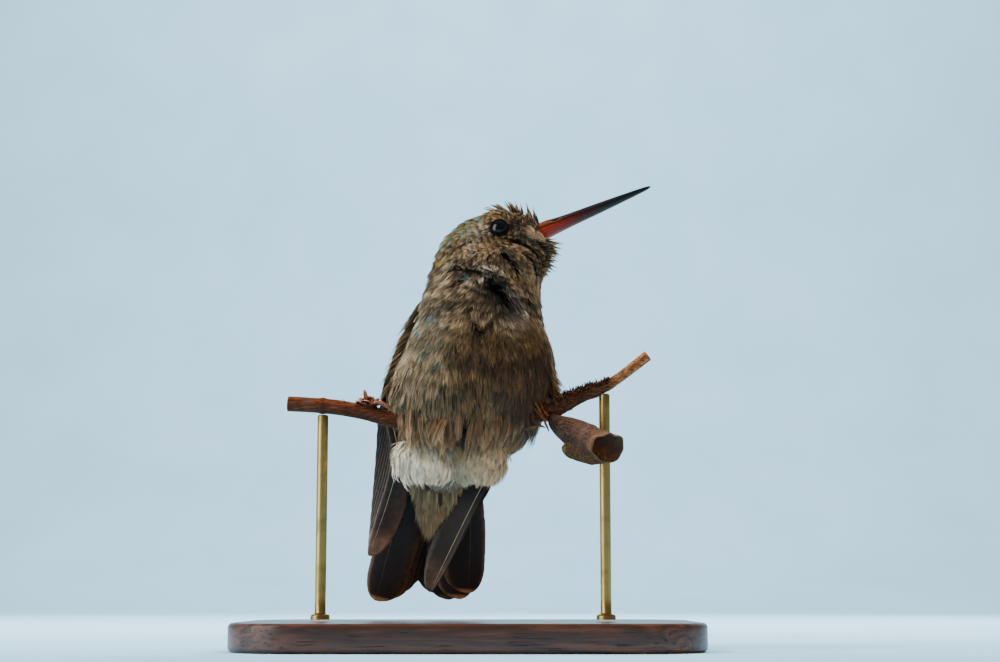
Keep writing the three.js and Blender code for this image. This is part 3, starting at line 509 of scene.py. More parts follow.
class Shade:
    """A finish being made: a material with one main shader."""

    def __init__(self, name: str, constants: dict[str, float]) -> None:
        """Starts a material.

        Args:
            name: The material's name.
            constants: Numbers that are the same all over, by the name of the shader's socket.
        """
        self.material = bpy.data.materials.new(name)
        self.material.use_nodes = True
        self.tree = self.material.node_tree
        self.tree.nodes.clear()
        self.surface = self.tree.nodes.new("ShaderNodeBsdfPrincipled")
        output = self.tree.nodes.new("ShaderNodeOutputMaterial")
        self.tree.links.new(self.surface.outputs[0], output.inputs[0])
        for socket, number in constants.items():
            self.surface.inputs[socket].default_value = number

    def node(
        self,
        kind: str,
        settings: dict[str, object] | None = None,
        inputs: dict[str | int, object] | None = None,
        output: str | int = 0,
    ) -> Wire:
        """Adds a node.

        Args:
            kind: The node's type.
            settings: Its own settings; `stops` are a ramp's places and colours.
            inputs: Values or wires for its sockets.
            output: The output that is wanted.

        Returns:
            A wire from that output.
        """
        node = self.tree.nodes.new(kind)
        for key, value in (settings or {}).items():
            if key == "stops":
                self._set_stops(node.color_ramp.elements, value)
            else:
                setattr(node, key, value)
        for key, value in (inputs or {}).items():
            if isinstance(value, Wire):
                self.tree.links.new(value.socket, node.inputs[key])
            else:
                node.inputs[key].default_value = value
        return Wire(self, node.outputs[output])

    @staticmethod
    def _set_stops(elements: bpy.types.ColorRampElements, stops: Sequence[tuple[float, str]]) -> None:
        """Sets the places and colours of a ramp.

        Args:
            elements: The ramp's own stops.
            stops: Places from 0 to 1 with their codes.
        """
        while len(elements) < len(stops):
            elements.new(0.5)
        for element, (place, code) in zip(elements, stops):
            element.position = place
            element.color = (*colour(code), 1)

    def place(self) -> Wire:
        """The place of a point on the object, in metres."""
        return self.node("ShaderNodeTexCoord", output="Object")

    def stretched(self, *scale: float) -> Wire:
        """The place of a point, scaled along each axis."""
        return self.node("ShaderNodeMapping", inputs={"Vector": self.place(), "Scale": scale})

    def noise(self, size: float, detail: float = 4, place: Wire | None = None) -> Wire:
        """Smooth noise from 0 to 1 with swells of a size in millimetres."""
        inputs = {"Vector": place or self.place(), "Scale": 1 / (size * MM), "Detail": detail}
        return self.node("ShaderNodeTexNoise", inputs=inputs)

    def cells(self, size: float, seam: float, place: Wire | None = None) -> Wire:
        """The seams between cells of a size in millimetres: 1 on a seam and 0 off it."""
        inputs = {"Vector": place or self.place(), "Scale": 1 / (size * MM)}
        gap = self.node("ShaderNodeTexVoronoi", {"feature": "DISTANCE_TO_EDGE"}, inputs)
        return 1 - gap.between(0.0, seam)

    def value(self, name: str) -> Wire:
        """A number kept with the mesh."""
        return self.node("ShaderNodeAttribute", {"attribute_name": name}, output="Fac")

    def tint(self) -> Wire:
        """The colour kept with the mesh."""
        return self.node("ShaderNodeAttribute", {"attribute_name": "tint"}, output="Color")

    def darker(self, code: str) -> Wire:
        """The colour kept with the mesh, times another."""
        return self.mix(1.0, self.tint(), code, "MULTIPLY")

    def ramp(self, value: Wire, *stops: tuple[float, str]) -> Wire:
        """Colours along a value from 0 to 1."""
        return self.node("ShaderNodeValToRGB", {"stops": stops}, {"Fac": value})

    def mix(self, share: Wire | float, first: Wire | str, second: Wire | str, blend: str = "MIX") -> Wire:
        """One colour over another; a code stands for a plain colour.

        Args:
            share: 0 for the first colour, 1 for the second.
            first: The colour below.
            second: The colour on top.
            blend: Blender's name of the way they mix.

        Returns:
            The mixed colour's wire.
        """
        inputs: dict[str | int, object] = {0: share}
        for key, shown in ((6, first), (7, second)):
            inputs[key] = shown if isinstance(shown, Wire) else (*colour(shown), 1)
        return self.node("ShaderNodeMix", {"data_type": "RGBA", "blend_type": blend}, inputs, 2)

    def bump(self, height: Wire, depth: float, strength: float = 1) -> None:
        """Raises the surface by a height from 0 to 1, times a depth in millimetres."""
        inputs = {"Height": height, "Distance": depth * MM, "Strength": strength}
        self.feed("Normal", self.node("ShaderNodeBump", inputs=inputs))

    def feed(self, socket: str, wire: Wire) -> None:
        """Leads a wire into one of the shader's sockets."""
        self.tree.links.new(wire.socket, self.surface.inputs[socket])


@dataclass(frozen=True)
class CoatFinish:
    """Loose barbs: the colour is kept with the mesh, mottled a little along the coat."""

    name: str
    roughness: float = 0.62
    sheen: float = 0.06
    mottle: float = 0.35

    def material(self) -> bpy.types.Material:
        """The finished material.

        Returns:
            The material.
        """
        shade = Shade(self.name, {
            "Roughness": self.roughness,
            "Sheen Weight": self.sheen,
            "Sheen Roughness": 0.5,
            "Specular IOR Level": 0.25,
        })
        cloud = shade.noise(1.4).between(0.35, 0.7) * self.mottle
        shade.feed("Base Color", shade.mix(cloud, shade.tint(), shade.darker("c9c2b8")))
        return shade.material


@dataclass(frozen=True)
class VaneFinish:
    """Firm feathers: fine slanting barbs to each side of the shaft, in the colour of the mesh."""

    name: str
    roughness: float = 0.48
    sheen: float = 0.1
    relief: float = 0.02

    def material(self) -> bpy.types.Material:
        """The finished material: the value `barb` counts the barbs along the feather.

        Returns:
            The material.
        """
        shade = Shade(self.name, {
            "Roughness": self.roughness,
            "Sheen Weight": self.sheen,
            "Specular IOR Level": 0.35,
        })
        barbs = (shade.value("barb") * (2 * math.pi)).wave()
        streaks = shade.noise(0.9, 3).between(0.3, 0.7)
        lined = barbs * 0.25 + streaks * 0.45 + 0.3
        shade.feed("Base Color", shade.mix(lined, shade.darker("9a9088"), shade.tint()))
        shade.feed("Roughness", self.roughness + (1 - barbs) * 0.2)
        shade.bump(barbs, self.relief, 0.8)
        return shade.material


# ---- the body's own shapes


@dataclass
class Trunk:
    """The feathered trunk: level rings, each height, middle x, middle y, half width, half depth."""

    rings: tuple = (
        (69.1, 5.6, -2.4, 4.6, 3.2), (68.0, 5.1, -2.4, 8.4, 5.5), (66.3, 4.1, -2.2, 9.7, 6.9),
        (64.0, 3.1, -1.9, 10.2, 7.8), (61.0, 2.4, -1.7, 10.1, 8.5), (57.5, 1.8, -1.5, 10.7, 9.6),
        (53.5, 1.5, -1.5, 11.4, 10.5), (48.3, 1.3, -1.4, 13.0, 11.0), (43.2, 0.9, -1.2, 13.6, 11.0),
        (39.8, 0.1, -0.5, 13.0, 10.2), (36.4, -0.6, 0.6, 11.4, 9.0), (33.0, -2.0, 2.0, 9.4, 7.4),
        (29.7, -3.3, 3.9, 6.8, 5.4), (27.2, -3.9, 5.4, 4.4, 3.7), (25.6, -4.2, 6.4, 2.2, 1.9),
    )
    slot: tuple = (-6.3, -0.1, 41.2)
    stations: int = 160
    sides: int = 110

    def __post_init__(self) -> None:
        """Works out the fine rings once."""
        self.fine = smooth_rows(self.rings, self.stations)[::-1]

    def at(self, z: Array) -> Array:
        """Middle x and y, half width and half depth at given heights."""
        return np.stack([np.interp(z, self.fine[:, 0], self.fine[:, k]) for k in range(1, 5)], -1)

    def outside(self, hand: int, z: Array, degrees: Array, lift: Array) -> Array:
        """Points over the trunk: the angle is 0 at the bird's side and 90 at its back.

        Args:
            hand: -1 for the bird's right side, +1 for its left.
            z: Heights.
            degrees: Angles round the trunk.
            lift: How far the points stand off it.

        Returns:
            A point for each height and angle.
        """
        x, y, wide, deep = np.moveaxis(self.at(z), -1, 0)
        angle = np.radians(degrees)
        return np.stack([
            x + hand * (wide + lift) * np.cos(angle),
            y + (deep + lift) * np.sin(angle),
            z,
        ], -1)

    def draft(self, inset: float) -> Draft:
        """The trunk without the depth of its coat.

        Args:
            inset: Depth of the coat.

        Returns:
            The closed form.
        """
        z, x, y, wide, deep = self.fine.T
        z = np.where(z > 60, z - inset * ease(60, 69, z), z + inset * (1 - ease(26, 34, z)))
        wide, deep = np.maximum(wide - inset, 0.4), np.maximum(deep - inset, 0.4)
        return loft(ellipses(np.stack([x, y, z], 1), ACROSS, BEHIND, wide, deep, self.sides))


@dataclass
class Skull:
    """The head's own frame and rings.

    Each ring is distance behind the bill's root, lift to the crown, half height and half width. The
    frame runs forward along the bill, up to the crown and out to the bird's right side.
    """

    root: tuple = (12.4, -3.0, 70.0)
    tip: tuple = (30.5, -5.7, 77.1)
    roll: float = 25
    rings: tuple = (
        (-0.6, 0.3, 1.7, 1.8), (0.6, 0.6, 3.2, 3.0), (2.2, 0.9, 4.6, 4.1), (4.5, 1.2, 5.7, 5.0),
        (7.5, 1.3, 6.4, 5.6), (10.5, 1.0, 6.7, 5.9), (13.5, 0.4, 6.5, 6.0), (16.5, -0.7, 5.6, 5.4),
        (19.0, -1.8, 3.9, 4.0), (20.3, -2.3, 2.0, 2.0),
    )
    eye: tuple = (6.6, 0.55, 4.05)
    eye_radius: float = 1.75

    def __post_init__(self) -> None:
        """Works out the head's own axes."""
        self.forward = unit(np.subtract(self.tip, self.root))
        level = unit(UPWARD - self.forward * self.forward[2])
        side = np.cross(self.forward, level)
        turn = math.radians(self.roll)
        self.right = side * math.cos(turn) + level * math.sin(turn)
        self.up = level * math.cos(turn) - side * math.sin(turn)

    def at(self, ahead: Array, up: Array, right: Array) -> Array:
        """Points given from the bill's root along the head's own axes."""
        parts = np.stack(np.broadcast_arrays(ahead, up, right), -1).astype(float)
        return np.asarray(self.root) + parts @ np.stack([self.forward, self.up, self.right])

    def own(self, points: Array) -> Array:
        """Distance ahead, up and right of points, from the bill's root."""
        return (points - np.asarray(self.root)) @ np.stack([self.forward, self.up, self.right], 1)

    def eye_middle(self, side: int) -> Array:
        """The middle of an eye: +1 is the right one."""
        back, up, out = self.eye
        return self.at(-back, up, side * out)

    def sight(self, side: int) -> Array:
        """The direction in which an eye looks."""
        return unit(self.right * side + self.forward * 0.2)

    def draft(self, inset: float) -> Draft:
        """The head without the depth of its coat.

        Args:
            inset: Depth of the coat.

        Returns:
            The closed form.
        """
        behind, lift, high, wide = smooth_rows(self.rings, 60).T
        behind = behind + inset * (1 - ease(0, 8, behind)) - inset * ease(14, 20, behind)
        high, wide = np.maximum(high - inset, 0.5), np.maximum(wide - inset, 0.5)
        return loft(ellipses(self.at(-behind, lift, 0), self.right, self.up, wide, high, 80))


# ---- plumage: lie, sizes and colours


class Plume(str, Enum):
    """Colours of the plumage, written as rrggbb."""

    SOOT = "0e0b09"
    DUSK = "1d1813"
    UMBER = "33271a"
    SMOKE = "342517"
    OLIVE = "3f3a26"
    TAUPE = "4b3825"
    ASH = "634c34"
    OCHRE = "a87c34"
    BUFF = "9a7a4c"
    CREAM = "b49d78"
    WHITE = "e6dcc6"
    BRONZE = "2b3319"
    MOSS = "635c3a"
    TEAL = "0a8f97"
    GREEN = "1f6b4a"


@dataclass(frozen=True)
class Lay:
    """How the feathers grow round one place of the body, in millimetres.

    `way` is the direction from root to tip: degrees in the plane across the view of the belly, with
    0 towards +X and 90 up, and a share that leads towards the back. `shades` are those of root,
    body and tip, `flecks` the share of feathers with a gloss of green or blue, `point` how far the
    barbs close to a point, and `scale` is 1 for firm scale-like feathers.
    """

    place: tuple[float, float, float]
    way: tuple[float, float]
    length: float
    half_width: float
    lift: float
    gap: float
    shades: tuple[Plume, Plume, Plume]
    flecks: float = 0.0
    point: float = 0.2
    scale: float = 0.0

    def row(self) -> list[float]:
        """The numbers that are spread over the body."""
        angle = math.radians(self.way[0])
        sizes = [self.length, self.half_width, self.lift, self.gap, self.flecks, self.point, self.scale]
        return [math.cos(angle), self.way[1], math.sin(angle), *sizes, *colours(self.shades).ravel()]


SOOT, DUSK, UMBER, SMOKE, OLIVE, TAUPE, ASH, OCHRE, BUFF, CREAM, WHITE, BRONZE, MOSS, TEAL, GREEN = Plume
# Near-black tones: the dark lores, and painted shade in the neck's cleft.
DARK_FACE_AND_SHADE = (SOOT, SOOT, DUSK)
CROWN = (SOOT, UMBER, OCHRE)
SPIKE = (SOOT, UMBER, BUFF)
CHEEK = (SOOT, ASH, CREAM)
GREY = (DUSK, TAUPE, ASH)
PALE = (DUSK, TAUPE, CREAM)
LIGHT = (SMOKE, ASH, CREAM)
BACK = (SOOT, BRONZE, MOSS)
EARTH = (SOOT, TAUPE, BUFF)
FROST = (ASH, CREAM, WHITE)
FAWN = (SMOKE, ASH, BUFF)

LAYS = (
    # brow: short feathers under the crest
    Lay((1.2, -4.6, 72.0), (185, 0.2), 1.6, 0.5, 12, 0.5, CROWN, 0.4, 0.3, 1.0),
    Lay((3.3, -4.6, 72.6), (178, 0.2), 1.5, 0.45, 12, 0.5, CROWN, 0.3, 0.3, 1.0),
    Lay((5.6, -5.2, 72.6), (160, 0.2), 1.1, 0.35, 14, 0.46, SPIKE, 0.1, 0.7),
    Lay((7.6, -5.2, 72.6), (150, 0.2), 1.0, 0.32, 14, 0.44, SPIKE, 0.05, 0.7),
    Lay((9.7, -5.1, 72.3), (145, 0.2), 0.8, 0.3, 16, 0.42, SPIKE, 0.0, 0.7),
    Lay((11.4, -4.6, 71.5), (150, 0.2), 0.6, 0.26, 14, 0.4, SPIKE, 0.0, 0.7),
    Lay((10.6, -2.6, 72.2), (150, 0.3), 0.9, 0.4, 14, 0.46, SPIKE, 0.05, 0.6),
    Lay((7.5, -2.4, 73.4), (160, 0.3), 1.2, 0.5, 14, 0.5, SPIKE, 0.1, 0.6),
    # crown and nape: firm scales
    Lay((4.4, -1.8, 74.0), (176, 0.3), 1.7, 0.6, 14, 0.56, CROWN, 0.4, 0.3, 1.0),
    Lay((-0.6, -4.6, 70.7), (205, 0.1), 1.7, 0.6, 18, 0.52, CROWN, 0.5, 0.2, 1.0),
    Lay((1.0, -1.0, 73.0), (198, 0.3), 2.0, 0.7, 16, 0.6, CROWN, 0.4, 0.2, 1.0),
    Lay((3.0, 3.0, 72.6), (205, 0.7), 2.0, 0.8, 14, 0.64, CROWN, 0.35, 0.2, 1.0),
    Lay((0.6, -5.7, 70.4), (203, 0.0), 1.5, 0.5, 14, 0.48, CROWN, 0.5, 0.2, 1.0),
    Lay((-2.8, -3.6, 68.6), (220, 0.1), 2.2, 0.65, 26, 0.55, CROWN, 0.4, 0.2, 1.0),
    Lay((-4.4, -0.5, 66.0), (228, 0.2), 3.0, 0.8, 28, 0.62, CROWN, 0.3, 0.2, 0.8),
    Lay((-3.4, -6.0, 66.2), (228, 0.0), 2.2, 0.6, 22, 0.52, CROWN, 0.35, 0.2, 0.6),
    Lay((-6.0, -5.3, 62.9), (240, 0.0), 2.8, 0.9, 24, 0.65, CHEEK, 0.15),
    # face: dark lores, brown over the eye, a pale patch behind it
    Lay((7.2, -7.0, 69.3), (200, -0.1), 1.1, 0.35, 14, 0.38, (SMOKE, BUFF, CREAM)),
    Lay((10.8, -5.2, 70.8), (175, -0.1), 0.9, 0.3, 10, 0.35, DARK_FACE_AND_SHADE),
    Lay((8.2, -6.0, 70.2), (182, -0.1), 0.9, 0.3, 8, 0.35, DARK_FACE_AND_SHADE),
    Lay((9.5, -5.8, 70.5), (178, -0.1), 0.9, 0.3, 8, 0.35, DARK_FACE_AND_SHADE),
    Lay((4.4, -6.2, 71.4), (182, 0.1), 1.2, 0.4, 12, 0.42, (UMBER, BUFF, CREAM), 0.0, 0.4),
    Lay((7.5, -5.6, 72.3), (165, 0.1), 1.2, 0.35, 26, 0.42, FAWN, 0.0, 0.6),
    Lay((10.0, -5.0, 72.1), (160, 0.1), 1.0, 0.3, 30, 0.4, SPIKE, 0.0, 0.6),
    Lay((2.6, -6.6, 69.8), (205, 0.0), 1.0, 0.35, 12, 0.38, (TAUPE, CREAM, WHITE)),
    Lay((0.6, -6.9, 68.2), (215, 0.0), 1.3, 0.4, 14, 0.4, (SMOKE, BUFF, WHITE)),
    Lay((3.2, -7.5, 68.2), (222, 0.0), 1.1, 0.35, 18, 0.4, EARTH),
    Lay((0.6, -7.8, 66.9), (225, 0.0), 1.4, 0.4, 20, 0.42, EARTH),
    Lay((-1.6, -6.5, 67.0), (222, 0.0), 1.6, 0.45, 18, 0.44, (SMOKE, BUFF, CREAM)),
    Lay((4.3, -8.0, 67.6), (236, 0.0), 1.3, 0.4, 18, 0.42, SPIKE),
    Lay((1.8, -8.0, 66.4), (232, 0.0), 1.6, 0.5, 22, 0.45, CHEEK, 0.05),
    # below the eye and on the throat: combs parted by deep grooves
    Lay((11.3, -5.7, 69.5), (-62, 0.0), 0.9, 0.4, 5, 0.34, (BUFF, CREAM, WHITE)),
    Lay((9.9, -6.4, 69.2), (-48, 0.0), 1.1, 0.4, 8, 0.36, (SMOKE, CREAM, WHITE)),
    Lay((12.9, -4.2, 68.6), (-14, 0.1), 1.7, 0.36, 34, 0.46, SPIKE, 0.0, 0.8),
    Lay((13.0, -4.4, 66.6), (-28, 0.1), 2.1, 0.4, 36, 0.5, SPIKE, 0.0, 0.8),
    Lay((12.8, -4.6, 64.6), (-48, 0.0), 2.0, 0.5, 26, 0.52, SPIKE, 0.0, 0.7),
    Lay((7.6, -8.0, 67.3), (-36, 0.0), 1.5, 0.4, 16, 0.42, (SOOT, BUFF, CREAM)),
    Lay((9.8, -7.6, 66.6), (-38, 0.0), 1.9, 0.45, 26, 0.46, CHEEK),
    Lay((8.4, -8.4, 64.9), (-54, 0.0), 2.1, 0.5, 30, 0.5, CHEEK),
    Lay((10.6, -7.0, 63.8), (-48, 0.0), 2.3, 0.55, 32, 0.5, CHEEK),
    Lay((11.8, -5.6, 62.2), (-58, 0.0), 2.3, 0.7, 18, 0.56, CHEEK),
    Lay((6.6, -9.1, 63.4), (-66, 0.0), 2.1, 0.5, 30, 0.48, CHEEK),
    Lay((8.8, -8.3, 61.2), (-62, 0.0), 2.5, 0.7, 30, 0.55, CHEEK),
    Lay((11.5, -5.4, 60.4), (-60, 0.0), 3.0, 1.0, 26, 0.62, PALE),
    # cheek, and the neck that fans out from the cleft
    Lay((3.6, -9.2, 65.0), (-105, 0.0), 1.8, 0.5, 26, 0.45, CHEEK),
    Lay((0.8, -9.0, 65.0), (228, 0.0), 2.0, 0.55, 26, 0.48, CHEEK, 0.04),
    Lay((-2.4, -8.4, 63.6), (226, 0.0), 2.5, 0.7, 26, 0.55, CHEEK, 0.1),
    Lay((3.1, -9.9, 62.3), (-80, -0.1), 1.7, 0.45, 40, 0.42, (SOOT, CREAM, WHITE)),
    # These two lays put near-black feathers in the neck's deep cleft: painted shade.
    Lay((4.1, -10.6, 58.5), (-70, 0.0), 2.4, 0.9, 12, 0.8, DARK_FACE_AND_SHADE),
    Lay((4.3, -10.2, 60.4), (-70, -0.2), 1.6, 0.6, 12, 0.5, (SOOT, SOOT, SOOT)),
    Lay((-2.0, -9.9, 59.6), (222, 0.0), 2.9, 0.85, 28, 0.62, CHEEK, 0.1),
    Lay((0.4, -10.8, 57.8), (240, 0.0), 2.9, 0.85, 28, 0.62, CHEEK, 0.04),
    Lay((2.6, -11.4, 56.2), (-94, 0.0), 3.0, 0.9, 28, 0.62, CHEEK),
    Lay((7.6, -9.6, 58.0), (-58, 0.0), 3.0, 0.9, 30, 0.6, (SOOT, TAUPE, WHITE)),
    Lay((10.6, -7.6, 57.4), (-52, 0.0), 3.0, 1.0, 26, 0.62, CHEEK),
    Lay((-5.2, -8.8, 57.6), (232, 0.0), 3.2, 1.0, 24, 0.66, PALE, 0.22),
    Lay((-6.4, -9.4, 52.6), (240, 0.0), 3.6, 1.2, 22, 0.72, PALE, 0.18),
    Lay((-9.4, -2.0, 55.0), (-108, 0.1), 3.8, 1.3, 16, 0.75, PALE, 0.2),
    Lay((2.2, -12.1, 52.5), (-92, 0.0), 3.4, 1.2, 18, 0.72, SPIKE),
    Lay((9.6, -8.6, 53.8), (-66, 0.0), 3.6, 1.2, 22, 0.7, SPIKE),
    # breast and belly
    Lay((1.8, -12.2, 49.4), (-92, 0.0), 4.2, 1.5, 18, 0.8, GREY),
    Lay((10.6, -8.4, 49.6), (-76, 0.0), 4.4, 1.5, 18, 0.8, GREY),
    Lay((-8.9, -8.3, 47.2), (-118, 0.0), 4.8, 1.7, 24, 0.8, LIGHT, 0.03),
    Lay((-11.6, -4.5, 45.5), (-122, 0.0), 4.8, 1.7, 28, 0.8, LIGHT, 0.04),
    Lay((0.2, -12.2, 43.5), (-90, 0.0), 5.0, 1.8, 18, 0.8, (DUSK, TAUPE, BUFF)),
    Lay((10.0, -8.7, 42.2), (-76, 0.0), 5.0, 1.8, 18, 0.8, GREY),
    Lay((-10.6, -6.7, 41.6), (-110, 0.0), 5.0, 1.8, 24, 0.8, PALE),
    Lay((-8.1, -6.3, 36.7), (-100, 0.0), 5.0, 1.7, 22, 0.7, LIGHT),
    Lay((0.2, -7.5, 35.4), (-90, 0.0), 5.0, 1.6, 24, 0.7, LIGHT),
    Lay((7.6, -6.0, 36.7), (-84, 0.0), 5.0, 1.7, 22, 0.7, LIGHT),
    Lay((-3.2, -3.0, 31.0), (-90, 0.0), 4.2, 1.6, 16, 0.75, FROST),
    # far side and back
    Lay((12.5, 1.5, 60.0), (-76, 0.1), 3.4, 1.3, 16, 0.75, (SOOT, UMBER, TAUPE), 0.1),
    Lay((14.0, 0.5, 46.0), (-84, 0.1), 4.6, 1.7, 14, 0.85, GREY),
    Lay((9.6, 1.6, 68.0), (200, 0.6), 1.8, 0.6, 18, 0.55, CHEEK, 0.05),
    Lay((6.3, 4.6, 66.0), (205, 0.6), 2.2, 0.8, 20, 0.6, CHEEK, 0.1),
    Lay((2.5, 6.5, 60.0), (-100, 0.4), 3.0, 1.2, 12, 0.75, BACK, 0.16, 0.2, 1.0),
    Lay((1.5, 8.5, 53.0), (-92, 0.1), 3.4, 1.5, 10, 0.85, BACK, 0.16, 0.2, 1.0),
    Lay((1.0, 9.6, 46.0), (-92, 0.0), 3.8, 1.7, 9, 0.9, BACK, 0.16, 0.2, 1.0),
    Lay((-1.0, 9.0, 38.0), (-96, 0.0), 4.0, 1.7, 9, 0.9, BACK, 0.16, 0.2, 1.0),
    Lay((-3.4, 9.2, 31.0), (-96, 0.2), 4.0, 1.5, 9, 0.8, BACK, 0.16, 0.2, 1.0),
)


@dataclass(frozen=True)
class Fold:
    """A groove in the plumage, with the feathers above it standing out over it.

    `line` gives places as seen from the front, across and up, in millimetres at the bird's middle.
    """

    line: tuple[tuple[float, float], ...]
    width: float
    depth: float
    ridge: float

    def parts(self, seen: Array) -> tuple[Array, Array]:
        """How much of groove and of ridge each seen place has.

        The groove is a bell of the distance to the line. The ridge is a bell round one and a half
        widths from it, on its upper side. Both fade towards the ends of the line.

        Args:
            seen: Places as seen from the front.

        Returns:
            The shares of groove and of ridge, from 0 to 1.
        """
        line = smooth_rows(self.line, 24)
        gaps = seen[:, None] - line[None]
        distance = np.linalg.norm(gaps, axis=2)
        nearest = distance.argmin(1)
        away = distance.min(1)
        ends = np.array([0.15, *np.ones(22), 0.15])
        ends[1:4], ends[-4:-1] = (0.4, 0.7, 0.9), (0.9, 0.7, 0.4)
        way = np.gradient(line, axis=0)[nearest]
        gap = gaps[np.arange(len(seen)), nearest]
        above = np.sign(way[:, 0] * gap[:, 1] - way[:, 1] * gap[:, 0])
        strength = ends[nearest]
        groove = bell(away, 0, self.width) * strength
        ridge = bell(away * above, 1.5 * self.width, 0.9 * self.width) * strength
        return groove, ridge


FOLDS = (
    Fold(((6.5, 69.4), (8.2, 68.8), (9.7, 67.9), (10.7, 66.8), (11.2, 65.6)), 0.4, 1.3, 0.5),
    Fold(((9.7, 71.0), (11.2, 70.6), (12.4, 69.6), (12.9, 68.6)), 0.22, 0.5, 0.2),
    Fold(((8.6, 67.0), (9.8, 65.9), (10.6, 64.4), (11.0, 62.4)), 0.34, 0.8, 0.3),
    Fold(((5.1, 67.0), (6.5, 65.9), (7.3, 64.4), (7.6, 62.4)), 0.42, 1.5, 0.6),
    Fold(((-3.0, 64.7), (-1.4, 64.2), (0.6, 63.8), (2.9, 63.5), (5.1, 63.0)), 0.36, 0.75, 0.4),
    Fold(((1.7, 62.1), (3.0, 61.9), (4.1, 61.2), (5.1, 60.2), (6.0, 58.8), (6.5, 57.3)), 0.85, 2.4, 0.9),
    Fold(((0.0, 54.8), (1.4, 54.0), (2.4, 53.1), (3.1, 54.2), (3.2, 55.5)), 0.5, 1.2, 0.4),
    Fold(((7.6, 59.4), (8.8, 58.9), (9.9, 58.6)), 0.24, 0.8, 0.4),
    Fold(((-3.1, 61.6), (-1.4, 61.9), (0.3, 62.3)), 0.36, 0.7, 0.3),
)


def seen_from_front(points: Array) -> Array:
    """Where places show from the bird's front, across and up, as if they lay at its middle.

    Each place is carried along its line of sight from the camera's eye to the plane y = 0.
    """
    reach = EYE[1] / (EYE[1] - points[..., 1])
    return np.stack([EYE[k] + (points[..., k] - EYE[k]) * reach for k in (0, 2)], -1)


@dataclass
class Lie:
    """The lays spread over the whole body."""

    lays: tuple[Lay, ...] = LAYS
    reach: float = 1.6

    def __post_init__(self) -> None:
        """Gathers the lays' numbers once."""
        self.places = np.array([lay.place for lay in self.lays])
        self.rows = np.array([lay.row() for lay in self.lays])

    def at(self, points: Array) -> dict[str, Array]:
        """The way, sizes and colours of the coat at places of the body.

        The way is turned a little by slow waves, as feathers part and gather.

        Args:
            points: Places, in millimetres.

        Returns:
            An array for each name: `way`, `tones` and the sizes of a lay.
        """
        rows = fields_at(self.places, self.rows, points, self.reach)
        swing = np.radians(8) * ripple(points, 5.0, 3) + np.radians(4) * ripple(points, 1.8, 4)
        way = rows[:, :3].copy()
        way[:, 0] = rows[:, 0] * np.cos(swing) - rows[:, 2] * np.sin(swing)
        way[:, 2] = rows[:, 0] * np.sin(swing) + rows[:, 2] * np.cos(swing)
        names = ("length", "half_width", "lift", "gap", "flecks", "point", "scale")
        found = {name: rows[:, 3 + k] for k, name in enumerate(names)}
        tones = rows[:, 10:].reshape(-1, 3, 3)
        return {"way": way, "tones": tones, **found}


# ---- the skin


def evaluated(draft_object: bpy.types.Object) -> bpy.types.Mesh:
    """The object's mesh with its modifiers applied."""
    graph = bpy.context.evaluated_depsgraph_get()
    return bpy.data.meshes.new_from_object(draft_object.evaluated_get(graph))


def laid_out(name: str, mesh: bpy.types.Mesh) -> bpy.types.Object:
    """A helper object in the scene, to be removed again."""
    helper = bpy.data.objects.new(name, mesh)
    bpy.context.scene.collection.objects.link(helper)
    return helper


